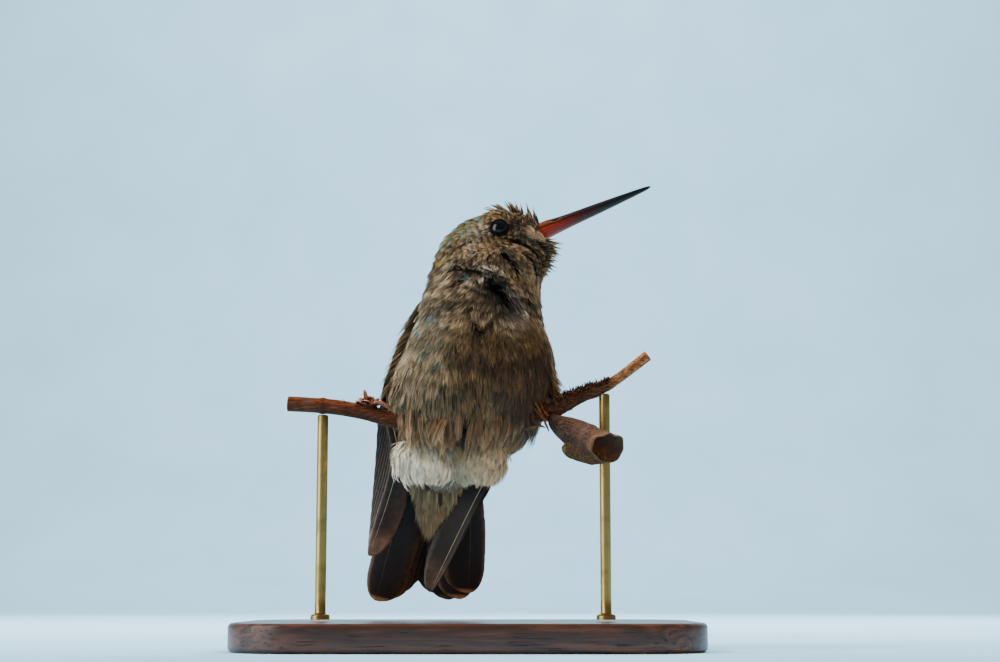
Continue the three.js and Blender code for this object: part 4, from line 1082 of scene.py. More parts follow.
@dataclass
class Skin:
    """One skin over head, neck and trunk, inside them by the depth of the coat.

    Head and trunk are lofts. The slot for the perch and the feet is cut out, a fine remesh joins
    them, and folds of the coat are then pushed in and out along the normals.
    """

    trunk: Trunk
    skull: Skull
    lie: Lie
    body_depth: float = 1.15
    head_depth: float = 0.75
    voxel: float = 0.36
    cell: float = 0.4
    solver_steps: int = 700
    slot_bevel: float = 1.4

    def folds(self, points: Array) -> tuple[Array, Array]:
        """How far the skin stands out at each point, and how deep in a groove it lies.

        Args:
            points: Places on the skin.

        Returns:
            The push along the normal, in millimetres, and the depth in a groove, from 0 to 1.
        """
        front = ease(1.0, -3.0, points[:, 1])
        seen = seen_from_front(points)
        push = 0.2 * ripple(points, 4.5, 8)
        hollow = np.zeros(len(points))
        for fold in FOLDS:
            groove, ridge = fold.parts(seen)
            push = push + front * (fold.ridge * ridge - fold.depth * groove)
            hollow = np.maximum(hollow, front * groove * min(1.0, fold.depth))
        return push, hollow

    def build(self) -> None:
        """Makes the skin, and the closed form without a slot that the coat is combed over."""
        trunk = laid_out("trunk_form", self.trunk.draft(self.body_depth).to_mesh("trunk_form"))
        front, back, top = self.trunk.slot
        bevel = self.slot_bevel
        rings = np.zeros((2, 6, 3))
        rings[:, :, 0] = [[-40.0], [40.0]]
        rings[:, :, 1:] = [
            [front, 0], [back, 0], [back, top - bevel], [back - bevel, top], [front + bevel, top],
            [front, top - bevel],
        ]
        slot = laid_out("slot_form", loft(rings).to_mesh("slot_form"))
        self.form, self.normals = self._remeshed(evaluated(trunk))
        cut = trunk.modifiers.new("slot", "BOOLEAN")
        cut.operation = "DIFFERENCE"
        cut.solver = "EXACT"
        cut.object = slot
        self.draft, _ = self._remeshed(evaluated(trunk))
        for helper in (trunk, slot):
            bpy.data.objects.remove(helper)
        tones = self.lie.at(self.draft.points)["tones"]
        _, hollow = self.folds(self.draft.points)
        # Painted shade: the skin takes the feathers' root colours dimmed, and darker still in the grooves.
        self.draft.tint = (0.5 * tones[:, 0] + 0.2 * tones[:, 1]) * (1 - 0.8 * hollow[:, None])
        self.draft.bake = self.unwrap(self.draft.points)
        self._index()

    def _remeshed(self, body: bpy.types.Mesh) -> tuple[Draft, Array]:
        """Trunk and head as one folded surface, and its normals.

        Args:
            body: Trunk and head, one through the other.

        Returns:
            The surface and the normal at each of its points.
        """
        drafts = [self.skull.draft(self.head_depth), self.read(body)]
        for draft in drafts:
            draft.values = {}
        joined = laid_out("skin_form", Draft.joined(drafts).to_mesh("skin_form"))
        remesh = joined.modifiers.new("remesh", "REMESH")
        remesh.mode = "VOXEL"
        remesh.voxel_size = self.voxel * MM
        soften = joined.modifiers.new("soften", "SMOOTH")
        soften.factor = 0.5
        soften.iterations = 6
        mesh = evaluated(joined)
        bpy.data.objects.remove(joined)
        draft = self.read(mesh)
        normals = np.empty(3 * len(mesh.vertices), np.float32)
        mesh.vertices.foreach_get("normal", normals)
        normals = normals.reshape(-1, 3).astype(float)
        push, _ = self.folds(draft.points)
        draft.points = draft.points + normals * push[:, None]
        return draft, normals

    @staticmethod
    def read(mesh: bpy.types.Mesh) -> Draft:
        """A Blender mesh as a draft of triangles, in millimetres.

        Args:
            mesh: The mesh, in metres.

        Returns:
            The draft.
        """
        mesh.calc_loop_triangles()
        points = np.empty(3 * len(mesh.vertices), np.float32)
        mesh.vertices.foreach_get("co", points)
        corners = np.empty(3 * len(mesh.loop_triangles), np.int32)
        mesh.loop_triangles.foreach_get("vertices", corners)
        return Draft(points.reshape(-1, 3).astype(float) / MM, triangles=corners.reshape(-1, 3))

    def _index(self) -> None:
        """Notes for every small cell of space near the skin which of its points is nearest."""
        points = self.form.points
        self.low = points.min(0) - 3
        shape = np.ceil((points.max(0) + 3 - self.low) / self.cell).astype(int) + 1
        table = np.full(shape, -1)
        cells = ((points - self.low) / self.cell).astype(int)
        table[tuple(cells.T)] = np.arange(len(points))
        grid = np.stack(np.meshgrid(*[np.arange(n) for n in shape], indexing="ij"), -1)
        centres = self.low + (grid + 0.5) * self.cell
        best = np.where(table >= 0, np.linalg.norm(centres - points[table], axis=-1), np.inf)
        for _ in range(8):
            for axis in range(3):
                for step in (1, -1):
                    other = np.roll(table, step, axis)
                    gap = np.where(other >= 0, np.linalg.norm(centres - points[other], axis=-1), np.inf)
                    table = np.where(gap < best, other, table)
                    best = np.minimum(gap, best)
        self.table = table

    def nearest(self, places: Array) -> Array:
        """Numbers of the form's points that lie nearest to places."""
        cells = ((places - self.low) / self.cell).astype(int)
        cells = np.clip(cells, 0, np.array(self.table.shape) - 1)
        return self.table[tuple(cells.reshape(-1, 3).T)].reshape(places.shape[:-1])

    def heights(self, slopes: Array) -> Array:
        """A height for each point of the form whose slope is as near to the given one as can be.

        It is the least sum of squares, over all edges, of the rise along the edge less the slope
        times the edge, found by conjugate gradients.

        Args:
            slopes: The wanted slope at each point.

        Returns:
            The heights.
        """
        points, corners = self.form.points, self.form.triangles
        sides = np.concatenate([corners[:, [0, 1]], corners[:, [1, 2]], corners[:, [2, 0]]])
        first, last = np.unique(np.sort(sides, axis=1), axis=0).T

        def gathered(flow: Array) -> Array:
            """What flows into each point less what flows out of it."""
            return np.bincount(last, flow, len(points)) - np.bincount(first, flow, len(points))

        rise = np.einsum("ij,ij->i", (slopes[first] + slopes[last]) / 2, points[last] - points[first])
        height, rest = np.zeros(len(points)), gathered(rise)
        way, power = rest.copy(), rest @ rest
        for _ in range(self.solver_steps):
            flow = gathered(way[last] - way[first])
            step = power / (way @ flow)
            height, rest = height + step * way, rest - step * flow
            power, before = rest @ rest, power
            if power < 1e-9:
                break
            way = rest + way * (power / before)
        return height

    def near(self, places: Array) -> tuple[Array, Array]:
        """The feet of places on the skin, and the normals there.

        The foot lies on the plane square to the normal of the nearest point of the mesh.

        Args:
            places: Points near the skin.

        Returns:
            The feet and their normals.
        """
        found = self.nearest(places)
        normals = self.normals[found]
        away = np.einsum("...i,...i->...", places - self.form.points[found], normals)
        return places - normals * away[..., None], normals

    def unwrap(self, points: Array) -> Array:
        """Places on the unwrap: the turn about the trunk's middle line, and the height."""
        x, y, _, _ = np.moveaxis(self.trunk.at(points[..., 2]), -1, 0)
        turn = np.arctan2(points[..., 1] - y, points[..., 0] - x) / (2 * math.pi) + 0.25
        return np.stack([turn % 1.0, np.clip((points[..., 2] - 24) / 52, 0, 1)], -1)

    def roots(self, count: int, seed: int) -> Array:
        """Places spread over the form, alike in number for the same area.

        Args:
            count: How many places.
            seed: Seed of the draws.

        Returns:
            The places.
        """
        rng = np.random.default_rng(seed)
        a, b, c = (self.form.points[self.form.triangles[:, k]] for k in range(3))
        areas = np.linalg.norm(np.cross(b - a, c - a), axis=1)
        picked = rng.choice(len(a), count, p=areas / areas.sum())
        u, v = rng.random((2, count, 1))
        flip = u + v > 1
        u, v = np.where(flip, 1 - u, u), np.where(flip, 1 - v, v)
        return a[picked] * (1 - u - v) + b[picked] * u + c[picked] * v


def thinned(points: Array, gaps: Array, seed: int) -> Array:
    """Numbers of the points that are kept so that each small cube of space holds one.

    Three passes over cubes that are shifted by a third keep neighbours apart.

    Args:
        points: The places to choose from.
        gaps: The side of the cube at each place, in millimetres.
        seed: Seed of the order in which the places are taken.

    Returns:
        The numbers of the kept places.
    """
    keep = np.random.default_rng(seed).permutation(len(points))
    for shift in (0.0, 1 / 3, 2 / 3):
        cells = np.floor(points[keep] / gaps[keep, None] + shift).astype(np.int64)
        level = np.round(gaps[keep] * 20).astype(np.int64)
        key = ((cells[:, 0] * 4099 + cells[:, 1]) * 4099 + cells[:, 2]) * 97 + level
        _, first = np.unique(key, return_index=True)
        keep = keep[np.sort(first)]
    return keep


# ---- the coat


@dataclass
class Tufts:
    """Feathers as fans of fine barbs.

    `path` holds four places along each feather's lie, `normals` the directions away from the skin,
    `tones` the colours of root, body and tip and `bake` its place on the unwrap. `barb` is a barb's
    width and `point` how far a fan closes to a point. The barbs of a lock run together by `gather`,
    `rim` brings the tip's colour to the fan's edges, `shaded` the root's colour to its end, and
    `contrast` and `fine` are how unlike the locks and the barbs are. The darker end that `shaded`
    gives is partly the feather's own dark base and partly painted shade in the gaps between rows.
    """

    path: Array
    normals: Array
    length: Array
    half_width: Array | float
    lift: Array | float
    tones: Array
    bake: Array
    barb: Array | float
    point: Array | float
    contrast: float = 0.24
    gather: float = 0.75
    rim: float = 0.5
    shaded: float = 0.0
    fine: float = 0.4

    def __post_init__(self) -> None:
        """Gives each feather its own number where one stands for all."""
        for name in ("half_width", "lift", "barb", "point"):
            setattr(self, name, np.broadcast_to(getattr(self, name), self.length.shape))

    def chosen(self, mask: Array) -> "Tufts":
        """Some of the feathers."""
        rows = {name: getattr(self, name) for name in self.__dataclass_fields__}
        rows.update({name: row[mask] for name, row in rows.items() if isinstance(row, np.ndarray)})
        return Tufts(**rows)

    def draft(self, locks: int, barbs: int, seed: int, ragged: float = 0.07, spread: float = 0.6) -> Draft:
        """The fans as one mesh.

        Each fan is parted into locks, and the barbs of a lock run together towards its tip. A barb
        has a share s from -1 to 1 across the fan. It runs along the feather's path to a share of its
        length that falls with the square of s, and leaves the path sideways by the half width times
        s times a power of the distance run. It rises off the skin as the sine of the lift, less and
        less towards the tip. Each barb is a ribbon of two quads and a pointed triangle, rolled a
        little about its own line.

        Args:
            locks: Locks in a fan.
            barbs: Barbs in a lock.
            seed: Seed of the draws.
            ragged: How unevenly long the barbs are.
            spread: The power; less makes a fan that opens at its root.

        Returns:
            The draft, with colours and its place on the unwrap.
        """
        rng = np.random.default_rng(seed)
        n, count = len(self.length), locks * barbs
        shape = (n, locks, 1)

        def each(lock_values: Array) -> Array:
            """The values of the locks, one for each barb."""
            return np.broadcast_to(lock_values, (n, locks, barbs)).reshape(n, count)

        middle_share = (np.arange(locks) + 0.5) / locks * 2 - 1 + rng.normal(0, 0.22 / locks, (n, locks))
        beside = (np.arange(barbs) + 0.5) / barbs * 2 - 1
        share = middle_share[..., None] + beside / locks + rng.normal(0, 0.2 / count, (n, locks, barbs))
        reach = (1 - 0.3 * share**2) * (1 + rng.normal(0, ragged, shape))
        reach = reach * (1 + rng.normal(0, 0.05, share.shape))
        glow = rng.normal(0, self.contrast, shape) + rng.normal(0, self.fine * self.contrast, share.shape)
        curled = each(rng.normal(0, 0.12, shape))
        lock_tip = each(middle_share[..., None])
        share, reach, glow = each(share), each(reach), each(glow)
        run = reach[..., None] * np.array([0.0, 0.34, 0.7, 1.0])
        place = np.clip(run, 0, 1.25) * 3
        middle, normal = on_paths(self.path, place), unit(on_paths(self.normals, place))
        steps = unit(np.diff(self.path, axis=1))
        along = steps[np.arange(n)[:, None, None], np.minimum(place.astype(int), 2)]
        side = np.cross(along, normal)
        rise = self.length[:, None] * np.tan(np.radians(self.lift))[:, None]
        curl = rise * curled + self.length[:, None] * rng.normal(0, 0.02, (n, count))
        height = rise[..., None] * run * (1 - 0.42 * run) + curl[..., None] * run**2
        gathered = share[..., None] + (lock_tip - share)[..., None] * self.gather * ease(0.2, 1.0, run)
        closing = 1 - self.point[:, None, None] * np.clip(run, 0, 1) ** 2
        out = self.half_width[:, None, None] * gathered * run**spread * closing
        points = middle + side * out[..., None] + normal * (height + 0.02)[..., None]
        aim = unit(np.gradient(points, axis=2))
        flat = unit(np.cross(aim, normal))
        roll = np.radians(rng.normal(0, 22, (n, count)))[..., None, None]
        ribbon = flat * np.cos(roll) + np.cross(aim, flat) * np.sin(roll)
        thick = self.barb[:, None, None] * np.array([1.3, 1.1, 0.8, 0]) * 0.5
        edges = np.stack([points - ribbon * thick[..., None], points + ribbon * thick[..., None]], 3)
        corners = edges.reshape(n, count, 8, 3)[:, :, :7]
        tone = self.tones[:, None] * np.exp(glow - 0.03)[..., None, None]
        root, body, tip = tone[..., 0, :], tone[..., 1, :], tone[..., 2, :]
        edge = np.clip(np.abs(share)[..., None] ** 2.5 * self.rim, 0, 1)
        body = body * (1 - edge) + tip * edge
        low_tone = 0.75 * root + 0.25 * body
        # `shaded` brings the root's colour to the feather's end: partly its own dark base, partly painted
        # shade between rows.
        high_tone = (0.8 - self.shaded) * body + self.shaded * root + 0.2 * tip
        shades = np.stack([root, root, low_tone, low_tone, high_tone, high_tone, tip], 2)
        patch = np.stack(np.broadcast_arrays(
            share[..., None] * 0.0014, (run[..., [0, 0, 1, 1, 2, 2, 3]] - 0.5) * 0.0028,
        ), -1)
        bake = self.bake[:, None, None] + patch
        first = np.arange(n * count)[:, None] * 7
        quads = np.concatenate([first + [0, 1, 3, 2], first + [2, 3, 5, 4]])
        return Draft(
            corners.reshape(-1, 3), quads, first + np.array([[4, 5, 6]]), shades.reshape(-1, 3),
            bake=np.clip(bake.reshape(-1, 2), 0, 1),
        )


@dataclass(frozen=True)
class Area:
    """One area of the coat: how its fans are made, and the open combs of barbs that lie over them.

    `painted_shade` darkens the fans under the combs as painted shade for the deeper feathers, and `comb`
    counts the barbs of a comb, or is 0 where the fans show themselves.
    """

    name: str
    slot: str
    locks: int
    barbs: int
    gather: float
    rim: float
    shaded: float
    contrast: float
    painted_shade: float = 1.0
    comb: int = 0


AREAS = (
    Area("crown", "crown_feathers", 3, 6, 0.3, 1.0, 0.25, 0.2),
    Area("head", "crown_feathers", 3, 4, 0.5, 0.5, 0.3, 0.2, 0.32, 4),
    Area("neck", "body_feathers", 4, 4, 0.5, 0.5, 0.3, 0.2, 0.36, 7),
    Area("breast", "body_feathers", 6, 4, 0.45, 0.5, 0.2, 0.24, 0.55, 12),
    Area("belly", "body_feathers", 8, 4, 0.4, 0.4, 0.1, 0.22, 0.62, 14),
    Area("back", "body_feathers", 4, 7, 0.3, 1.0, 0.3, 0.2),
)


@dataclass
class Coat:
    """The feathers of head and body, combed along the lie and cut to its sizes."""

    skin: Skin
    finish: CoatFinish = CoatFinish("body_barbs")
    seed: int = 5
    tries: int = 150000
    fullness: float = 0.8
    verge: float = 0.45
    shortest: float = 0.35
    piece_limit: int = 190000
    rows_from: tuple = (49.0, 56.0)
    row_gap: float = 1.85
    row_share: float = 0.3
    comb_gap: float = 1.65
    comb_glow: float = 1.6
    head_from: float = 63.5
    neck_from: float = 55.5
    breast_from: float = 46.5
    teal_share: float = 0.65
    slot_verge: float = 0.2
    eye_clear: tuple = (1.1, 3.2)

    def roots(self) -> tuple[Array, dict[str, Array]]:
        """Roots of all feathers with what the lie says there: none in slot, eyes or bill.

        Returns:
            The roots, and an array for each thing that the lie gives.
        """
        skin = self.skin
        points = skin.roots(self.tries, self.seed)
        points = points[self._in_rows(points)]
        found = skin.lie.at(points)
        crowding = 1 - 0.4 * ease(*self.rows_from, points[:, 2])
        keep = thinned(points, found["gap"] * crowding / self.fullness, self.seed)
        points = points[keep]
        found = {name: numbers[keep] for name, numbers in found.items()}
        front, back, top = skin.trunk.slot
        clear = ~((points[:, 1] > front + self.slot_verge) & (points[:, 1] < back) & (points[:, 2] < top))
        _, hollow = skin.folds(points)
        rng = np.random.default_rng(self.seed + 9)
        clear &= rng.random(len(points)) > 0.85 * hollow
        found["hollow"] = hollow
        beside, away = self.eye_clear
        for side in (1, -1):
            sight = skin.skull.sight(side)
            toward = points - skin.skull.eye_middle(side)
            across = toward - sight * (toward @ sight)[:, None] - skin.skull.up * 0.3
            clear &= (np.linalg.norm(across, axis=1) >= beside) | (np.linalg.norm(toward, axis=1) >= away)
        clear &= (skin.skull.own(points)[:, 0] < -0.3) | (points[:, 2] < 67)
        return points[clear], {name: numbers[clear] for name, numbers in found.items()}

    def _in_rows(self, points: Array) -> Array:
        """Which places lie in the rows of head and neck; further down all of them do.

        A height over the form grows by one from row to row along the lie, and a place is in a row
        where the height's fraction is small.

        Args:
            points: Places on the form.

        Returns:
            True for each place that is in a row.
        """
        form = self.skin.form.points
        lie = self.skin.lie.at(form)
        slopes = square_to(lie["way"], self.skin.normals) / (self.row_gap * lie["gap"])[:, None]
        heights = self.skin.heights(slopes)
        found = self.skin.nearest(points)
        here = heights[found] + np.einsum("ij,ij->i", points - form[found], slopes[found])
        window = 1 - (1 - self.row_share) * ease(*self.rows_from, points[:, 2])
        return here % 1 < window

    def tufts(self) -> tuple[Tufts, Array]:
        """Every feather walked along the skin in three steps, turning with the lie.

        Returns:
            The feathers, and how firm each is.
        """
        rng = np.random.default_rng(self.seed + 1)
        points, found = self.roots()
        count = len(points)
        length = found["length"] * (1 + rng.normal(0, 0.07, count)) * (1 - 0.3 * found["hollow"])
        turn = rng.normal(0, np.radians(4.5), count)
        here = points
        path, normals = [], []
        for _ in range(4):
            foot, normal = self.skin.near(here)
            path.append(foot)
            normals.append(normal)
            way = square_to(self.skin.lie.at(foot)["way"], normal)
            way = way * np.cos(turn)[:, None] + np.cross(normal, way) * np.sin(turn)[:, None]
            here = foot + way * (length / 3)[:, None]
        path, normals, cut = self._trimmed(np.stack(path, 1), np.stack(normals, 1))
        length = length * cut
        # Feathers are darker the deeper their root lies in a groove: painted shade.
        painted_shade = 1 - 0.9 * found["hollow"]
        tones = found["tones"] * (1 + rng.normal(0, 0.12, (count, 1, 1))) * painted_shade[:, None, None]
        fleck = rng.random(count) < 1.35 * found["flecks"] - 0.04
        hue = np.where(rng.random((count, 1)) < self.teal_share, colour(TEAL), colour(GREEN))
        tones[fleck, 1] = 0.1 * tones[fleck, 1] + 0.9 * hue[fleck]
        tones[fleck, 2] = 0.6 * tones[fleck, 2] + 0.4 * hue[fleck]
        barb = 0.06 + 0.018 * np.clip(length, 1, 5)
        return Tufts(
            path, normals, length, found["half_width"], found["lift"],
            tones, self.skin.unwrap(points), barb, found["point"],
        ), found["scale"]

    def _trimmed(self, path: Array, normals: Array) -> tuple[Array, Array, Array]:
        """Paths cut off where they would bridge a groove.

        Args:
            path: The feathers' paths.
            normals: The directions away from the skin along them.

        Returns:
            The shorter paths, their normals and the share of each that is left.
        """
        share = np.linspace(0, 1, 10)
        places = on_paths(path, np.broadcast_to(share * 3, (len(path), 10)))
        _, hollow = self.skin.folds(places.reshape(-1, 3))
        hollow = hollow.reshape(len(path), -1)
        blocked = (hollow > self.verge) & (hollow > hollow[:, :1] + 0.05)
        cut = np.where(blocked.any(1), share[blocked.argmax(1)], 1.0).clip(self.shortest, 1)
        wanted = cut[:, None] * np.array([0, 1, 2, 3])
        return on_paths(path, wanted), unit(on_paths(normals, wanted)), cut

    def build(self) -> None:
        """Makes the coat in pieces, from the head down and round to the back."""
        tufts, firm = self.tufts()
        material = self.finish.material()
        z = tufts.path[:, 0, 2]
        head, scales = z > self.head_from, firm > 0.5
        masks = {
            "crown": head & scales,
            "head": head & ~scales,
            "neck": ~head & ~scales & (z > self.neck_from),
            "breast": ~scales & (z <= self.neck_from) & (z > self.breast_from),
            "belly": ~scales & (z <= self.breast_from),
            "back": ~head & scales,
        }
        for area in AREAS:
            fans = tufts.chosen(masks[area.name])
            for name in ("gather", "rim", "shaded", "contrast"):
                setattr(fans, name, getattr(area, name))
            combs = self._combs(fans) if area.comb else None
            # The fans under the combs are darkened: painted shade.
            fans.tones = fans.tones * area.painted_shade
            pieces = max(1, math.ceil(len(fans.length) * area.locks * area.barbs * 5 / self.piece_limit))
            order = np.argsort(fans.path[:, 0, 0])
            for k, part in enumerate(np.array_split(order, pieces)):
                draft = fans.chosen(part).draft(area.locks, area.barbs, self.seed + 10 + k)
                draft.to_piece(f"coat_{area.name}_{k + 1}", material, area.slot)
            if combs:
                draft = combs.draft(1, area.comb, self.seed + 20, 0.05, 0.4)
                draft.to_piece(f"coat_{area.name}_combs", material, area.slot)

    def _combs(self, fans: Tufts) -> Tufts:
        """The outermost feathers of an area: few, wide and pale barbs that run side by side.

        Args:
            fans: The feathers of the area.

        Returns:
            The combs.
        """
        keep = thinned(fans.path[:, 0], fans.half_width * self.comb_gap, self.seed + 3)
        combs = fans.chosen(keep)
        first, last = combs.path[:, :1], combs.path[:, 3:]
        chord = first + (last - first) * np.array([0, 1 / 3, 2 / 3, 1])[:, None]
        combs.path = 0.4 * combs.path + 0.6 * chord
        combs.normals = np.repeat(unit(combs.normals.mean(1))[:, None], 4, 1)
        combs.tones = combs.tones.copy()
        combs.tones[:, 1] = 0.6 * combs.tones[:, 1] + 0.4 * combs.tones[:, 2]
        combs.tones[:, 2] *= self.comb_glow
        combs.gather, combs.rim, combs.shaded = 0.0, 0.1, 0.1
        combs.contrast, combs.fine = 0.12, 2.6
        combs.barb = np.clip(0.07 + 0.012 * combs.length, 0.08, 0.12)
        combs.lift = combs.lift + 3
        combs.half_width = combs.half_width * 1.15
        return combs


@dataclass
class Crest:
    """Raised, pointed feathers over the brow, in rows one behind the other.

    A spike is the x of its root and the direction in which it stands, in degrees across the view.
    """

    skin: Skin
    spikes: tuple = (
        (4.9, 165), (5.9, 152), (6.8, 138), (7.7, 127), (8.6, 118), (9.6, 111), (10.5, 107), (11.3, 106),
        (12.1, 114), (12.7, 122),
    )
    depths: tuple = (-5.6, -4.7, -3.8, -2.8, -1.7, -0.5)
    lengths: tuple = (1.2, 1.9, 2.6, 2.8, 2.6, 2.2)
    half_width: float = 0.32
    lift: float = 3.0
    barb: float = 0.13
    point: float = 0.9
    seed: int = 31

    def build(self) -> None:
        """Makes the crest: each spike stands on the highest point of the form near its place."""
        rng = np.random.default_rng(self.seed)
        form, normals = self.skin.form.points, self.skin.normals
        roots, ends, facing = [], [], []
        for depth, length in zip(self.depths, self.lengths):
            for x, degrees in self.spikes:
                place = np.array([x, depth]) + rng.normal(0, 0.22, 2)
                around = np.flatnonzero(np.linalg.norm(form[:, :2] - place, axis=1) < 0.5)
                top = around[form[around, 2].argmax()]
                angle = math.radians(degrees + rng.normal(0, 7))
                way = unit([math.cos(angle), 0.1 + rng.normal(0, 0.12), math.sin(angle)])
                size = length * (1 - 0.4 * ease(10.5, 13, x)) * rng.uniform(0.8, 1.15)
                roots.append(form[top] - 0.1 * normals[top])
                ends.append(form[top] + way * size)
                facing.append(unit(normals[top] + [0, -0.8, 0]))
        roots, ends, facing = np.array(roots), np.array(ends), np.array(facing)
        path, flats, length = hanging(roots, ends, facing * 0.12, facing)
        tufts = Tufts(
            path, flats, length, self.half_width, self.lift,
            uneven((SOOT, UMBER, CREAM), 0.15, len(roots), rng),
            self.skin.unwrap(roots), self.barb, self.point, rim=1.2,
        )
        draft = tufts.draft(1, 9, self.seed, 0.05, 0.35)
        draft.to_piece("coat_crest", CoatFinish("crest_barbs").material(), "crown_feathers")


@dataclass(frozen=True)
class Lock:
    """Loose feathers along a line: roots run along one line of places and ends along another.

    `thick` is a barb's width, `shades` are those of root, body and tip, `point` is how far a fan
    closes, `scatter` how far roots and ends stray, `deep` how much further the ends stray from front
    to back, `sag` how far a feather bulges and `spread` how late its fan opens.
    """

    name: str
    slot: str
    roots: tuple
    ends: tuple
    count: int
    half_width: float
    barbs: int
    thick: float
    shades: tuple[Plume, Plume, Plume]
    point: float = 0.5
    scatter: float = 0.3
    deep: float = 0.5
    sag: float = 0.3
    spread: float = 0.4


LOCKS = (
    Lock("malar", "crown_feathers", ((9.3, -6, 70.0), (10.4, -6, 69.5), (11.4, -5.6, 68.9)),
         ((10.6, -6.9, 68.5), (11.9, -6.6, 68.0), (13.0, -5.6, 67.8)), 56, 0.42, 8, 0.075,
         LIGHT, 0.2, 0.25, 0.2, 0.35),
    Lock("chin", "crown_feathers",
         ((11.2, -4.5, 68.3), (11.9, -4.5, 66.9), (11.7, -4.5, 65.1), (10.9, -4.5, 63.2)),
         ((14.7, -3.9, 67.9), (15.0, -3.7, 66.2), (14.3, -3.7, 63.9), (13.1, -3.7, 62.0)), 84, 0.3, 8, 0.09,
         (SOOT, SMOKE, CREAM), 0.9, 0.3, 1.3, 0.15, 0.5),
    Lock("hem", "body_feathers", ((-11.4, -6, 38.4), (-6.4, -7, 37.6), (-0.7, -7, 37.2), (5.9, -6.4, 38.2)),
         ((-10.6, -6.8, 33.0), (-6.6, -7.3, 32.2), (-2.4, -7.2, 31.4), (1.8, -7.0, 32.0), (5.5, -6.2, 33.2)),
         220, 0.9, 14, 0.075, (ASH, ASH, CREAM), 0.6, 0.8, 0.3, 1.0, 0.2),
    # Near-black feathers in the hollow between the puffs: painted shade.
    Lock("hollow", "body_feathers", ((-1.8, -7, 36.2), (0.2, -7, 35.8), (2.2, -7, 36.2)),
         ((-2.2, -7.8, 32.2), (0.0, -7.9, 31.7), (2.1, -7.7, 32.4)), 26, 0.8, 10, 0.09,
         (SOOT, DUSK, OLIVE), 0.5, 0.3, 0.2, 1.2),
    Lock("rump", "body_feathers", ((-7.4, 9, 38.6), (-3.8, 10, 39.0), (-0.4, 9, 38.6)),
         ((-7.8, 10.9, 33.0), (-4.2, 11.4, 32.4), (-0.6, 10.9, 33.0)), 70, 1.3, 12, 0.1,
         BACK, 0.2, 0.5, 0.2, 1.3),
    Lock("flank", "body_feathers", ((5.6, -2, 40.0), (8.2, -1, 39.6), (11.2, -0.6, 40.2)),
         ((4.4, -0.2, 32.9), (7.0, 0.6, 33.0), (10.0, 0.8, 35.6)), 90, 1.3, 12, 0.09,
         LIGHT, 0.5, 0.6, 1.0, 0.5),
    Lock("edge", "body_feathers", ((-8.8, -1, 59.0), (-10.5, -1, 55.0), (-12.2, -1, 50.2), (-13.4, -1, 45.6)),
         ((-10.6, 0.5, 55.0), (-12.8, 0.7, 50.2), (-14.4, 0.9, 45.4), (-15.2, 1.0, 40.6)), 90, 0.8, 10, 0.09,
         FAWN, 0.2, 0.1, 0.2, 0.25, 0.1),
    Lock("side", "body_feathers", ((11.4, -3, 47.6), (12.4, -3, 44.4), (12.4, -3, 41.4)),
         ((14.3, -2.5, 44.2), (14.9, -2.5, 41.9), (13.9, -2.5, 39.0)), 60, 0.8, 9, 0.1,
         (SMOKE, TAUPE, BUFF), 0.7, 0.5, 1.6, 0.2, 0.5),
)


@dataclass
class Locks:
    """The loose feathers of chin, cheek, hem and flank."""

    skin: Skin
    locks: tuple[Lock, ...] = LOCKS

    def build(self) -> None:
        """Makes one piece of each slot."""
        finish = CoatFinish("loose_barbs").material()
        for slot in ("crown_feathers", "body_feathers"):
            drafts = [self._fans(lock, k) for k, lock in enumerate(self.locks) if lock.slot == slot]
            Draft.joined(drafts).to_piece(f"coat_loose_{slot.split('_')[0]}", finish, slot)

    def _fans(self, lock: Lock, number: int) -> Draft:
        """The fans of one lock: each from its root on the skin to its scattered end.

        Args:
            lock: The lock.
            number: Its place in the row of locks, which sets its seed.

        Returns:
            The lock's draft.
        """
        rng = np.random.default_rng(80 + number)
        place = (rng.uniform(0, 1, lock.count) * 199).astype(int)
        stray = rng.normal(0, lock.scatter, (2, lock.count, 3))
        roots, normals = self.skin.near(smooth_rows(lock.roots, 200)[place] + stray[0] * 1.8)
        deep = rng.normal(0, lock.deep, (lock.count, 1)) * BEHIND
        ends = smooth_rows(lock.ends, 200)[place] + stray[1] + deep
        facing = unit(normals - 0.8 * BEHIND * (normals[:, 1:2] < 0))
        sag = lock.sag * rng.uniform(0.5, 1.3, (lock.count, 1))
        path, flats, length = hanging(roots, ends, facing * sag, facing)
        tones = uneven(lock.shades, 0.14, lock.count, rng)
        tufts = Tufts(
            path, flats, length, lock.half_width, rng.uniform(2, 9, lock.count), tones,
            self.skin.unwrap(roots), lock.thick, lock.point,
            contrast=0.12, rim=0.15, gather=0.1, fine=2.4,
        )
        return tufts.draft(1, lock.barbs, 90 + number, 0.12, lock.spread)


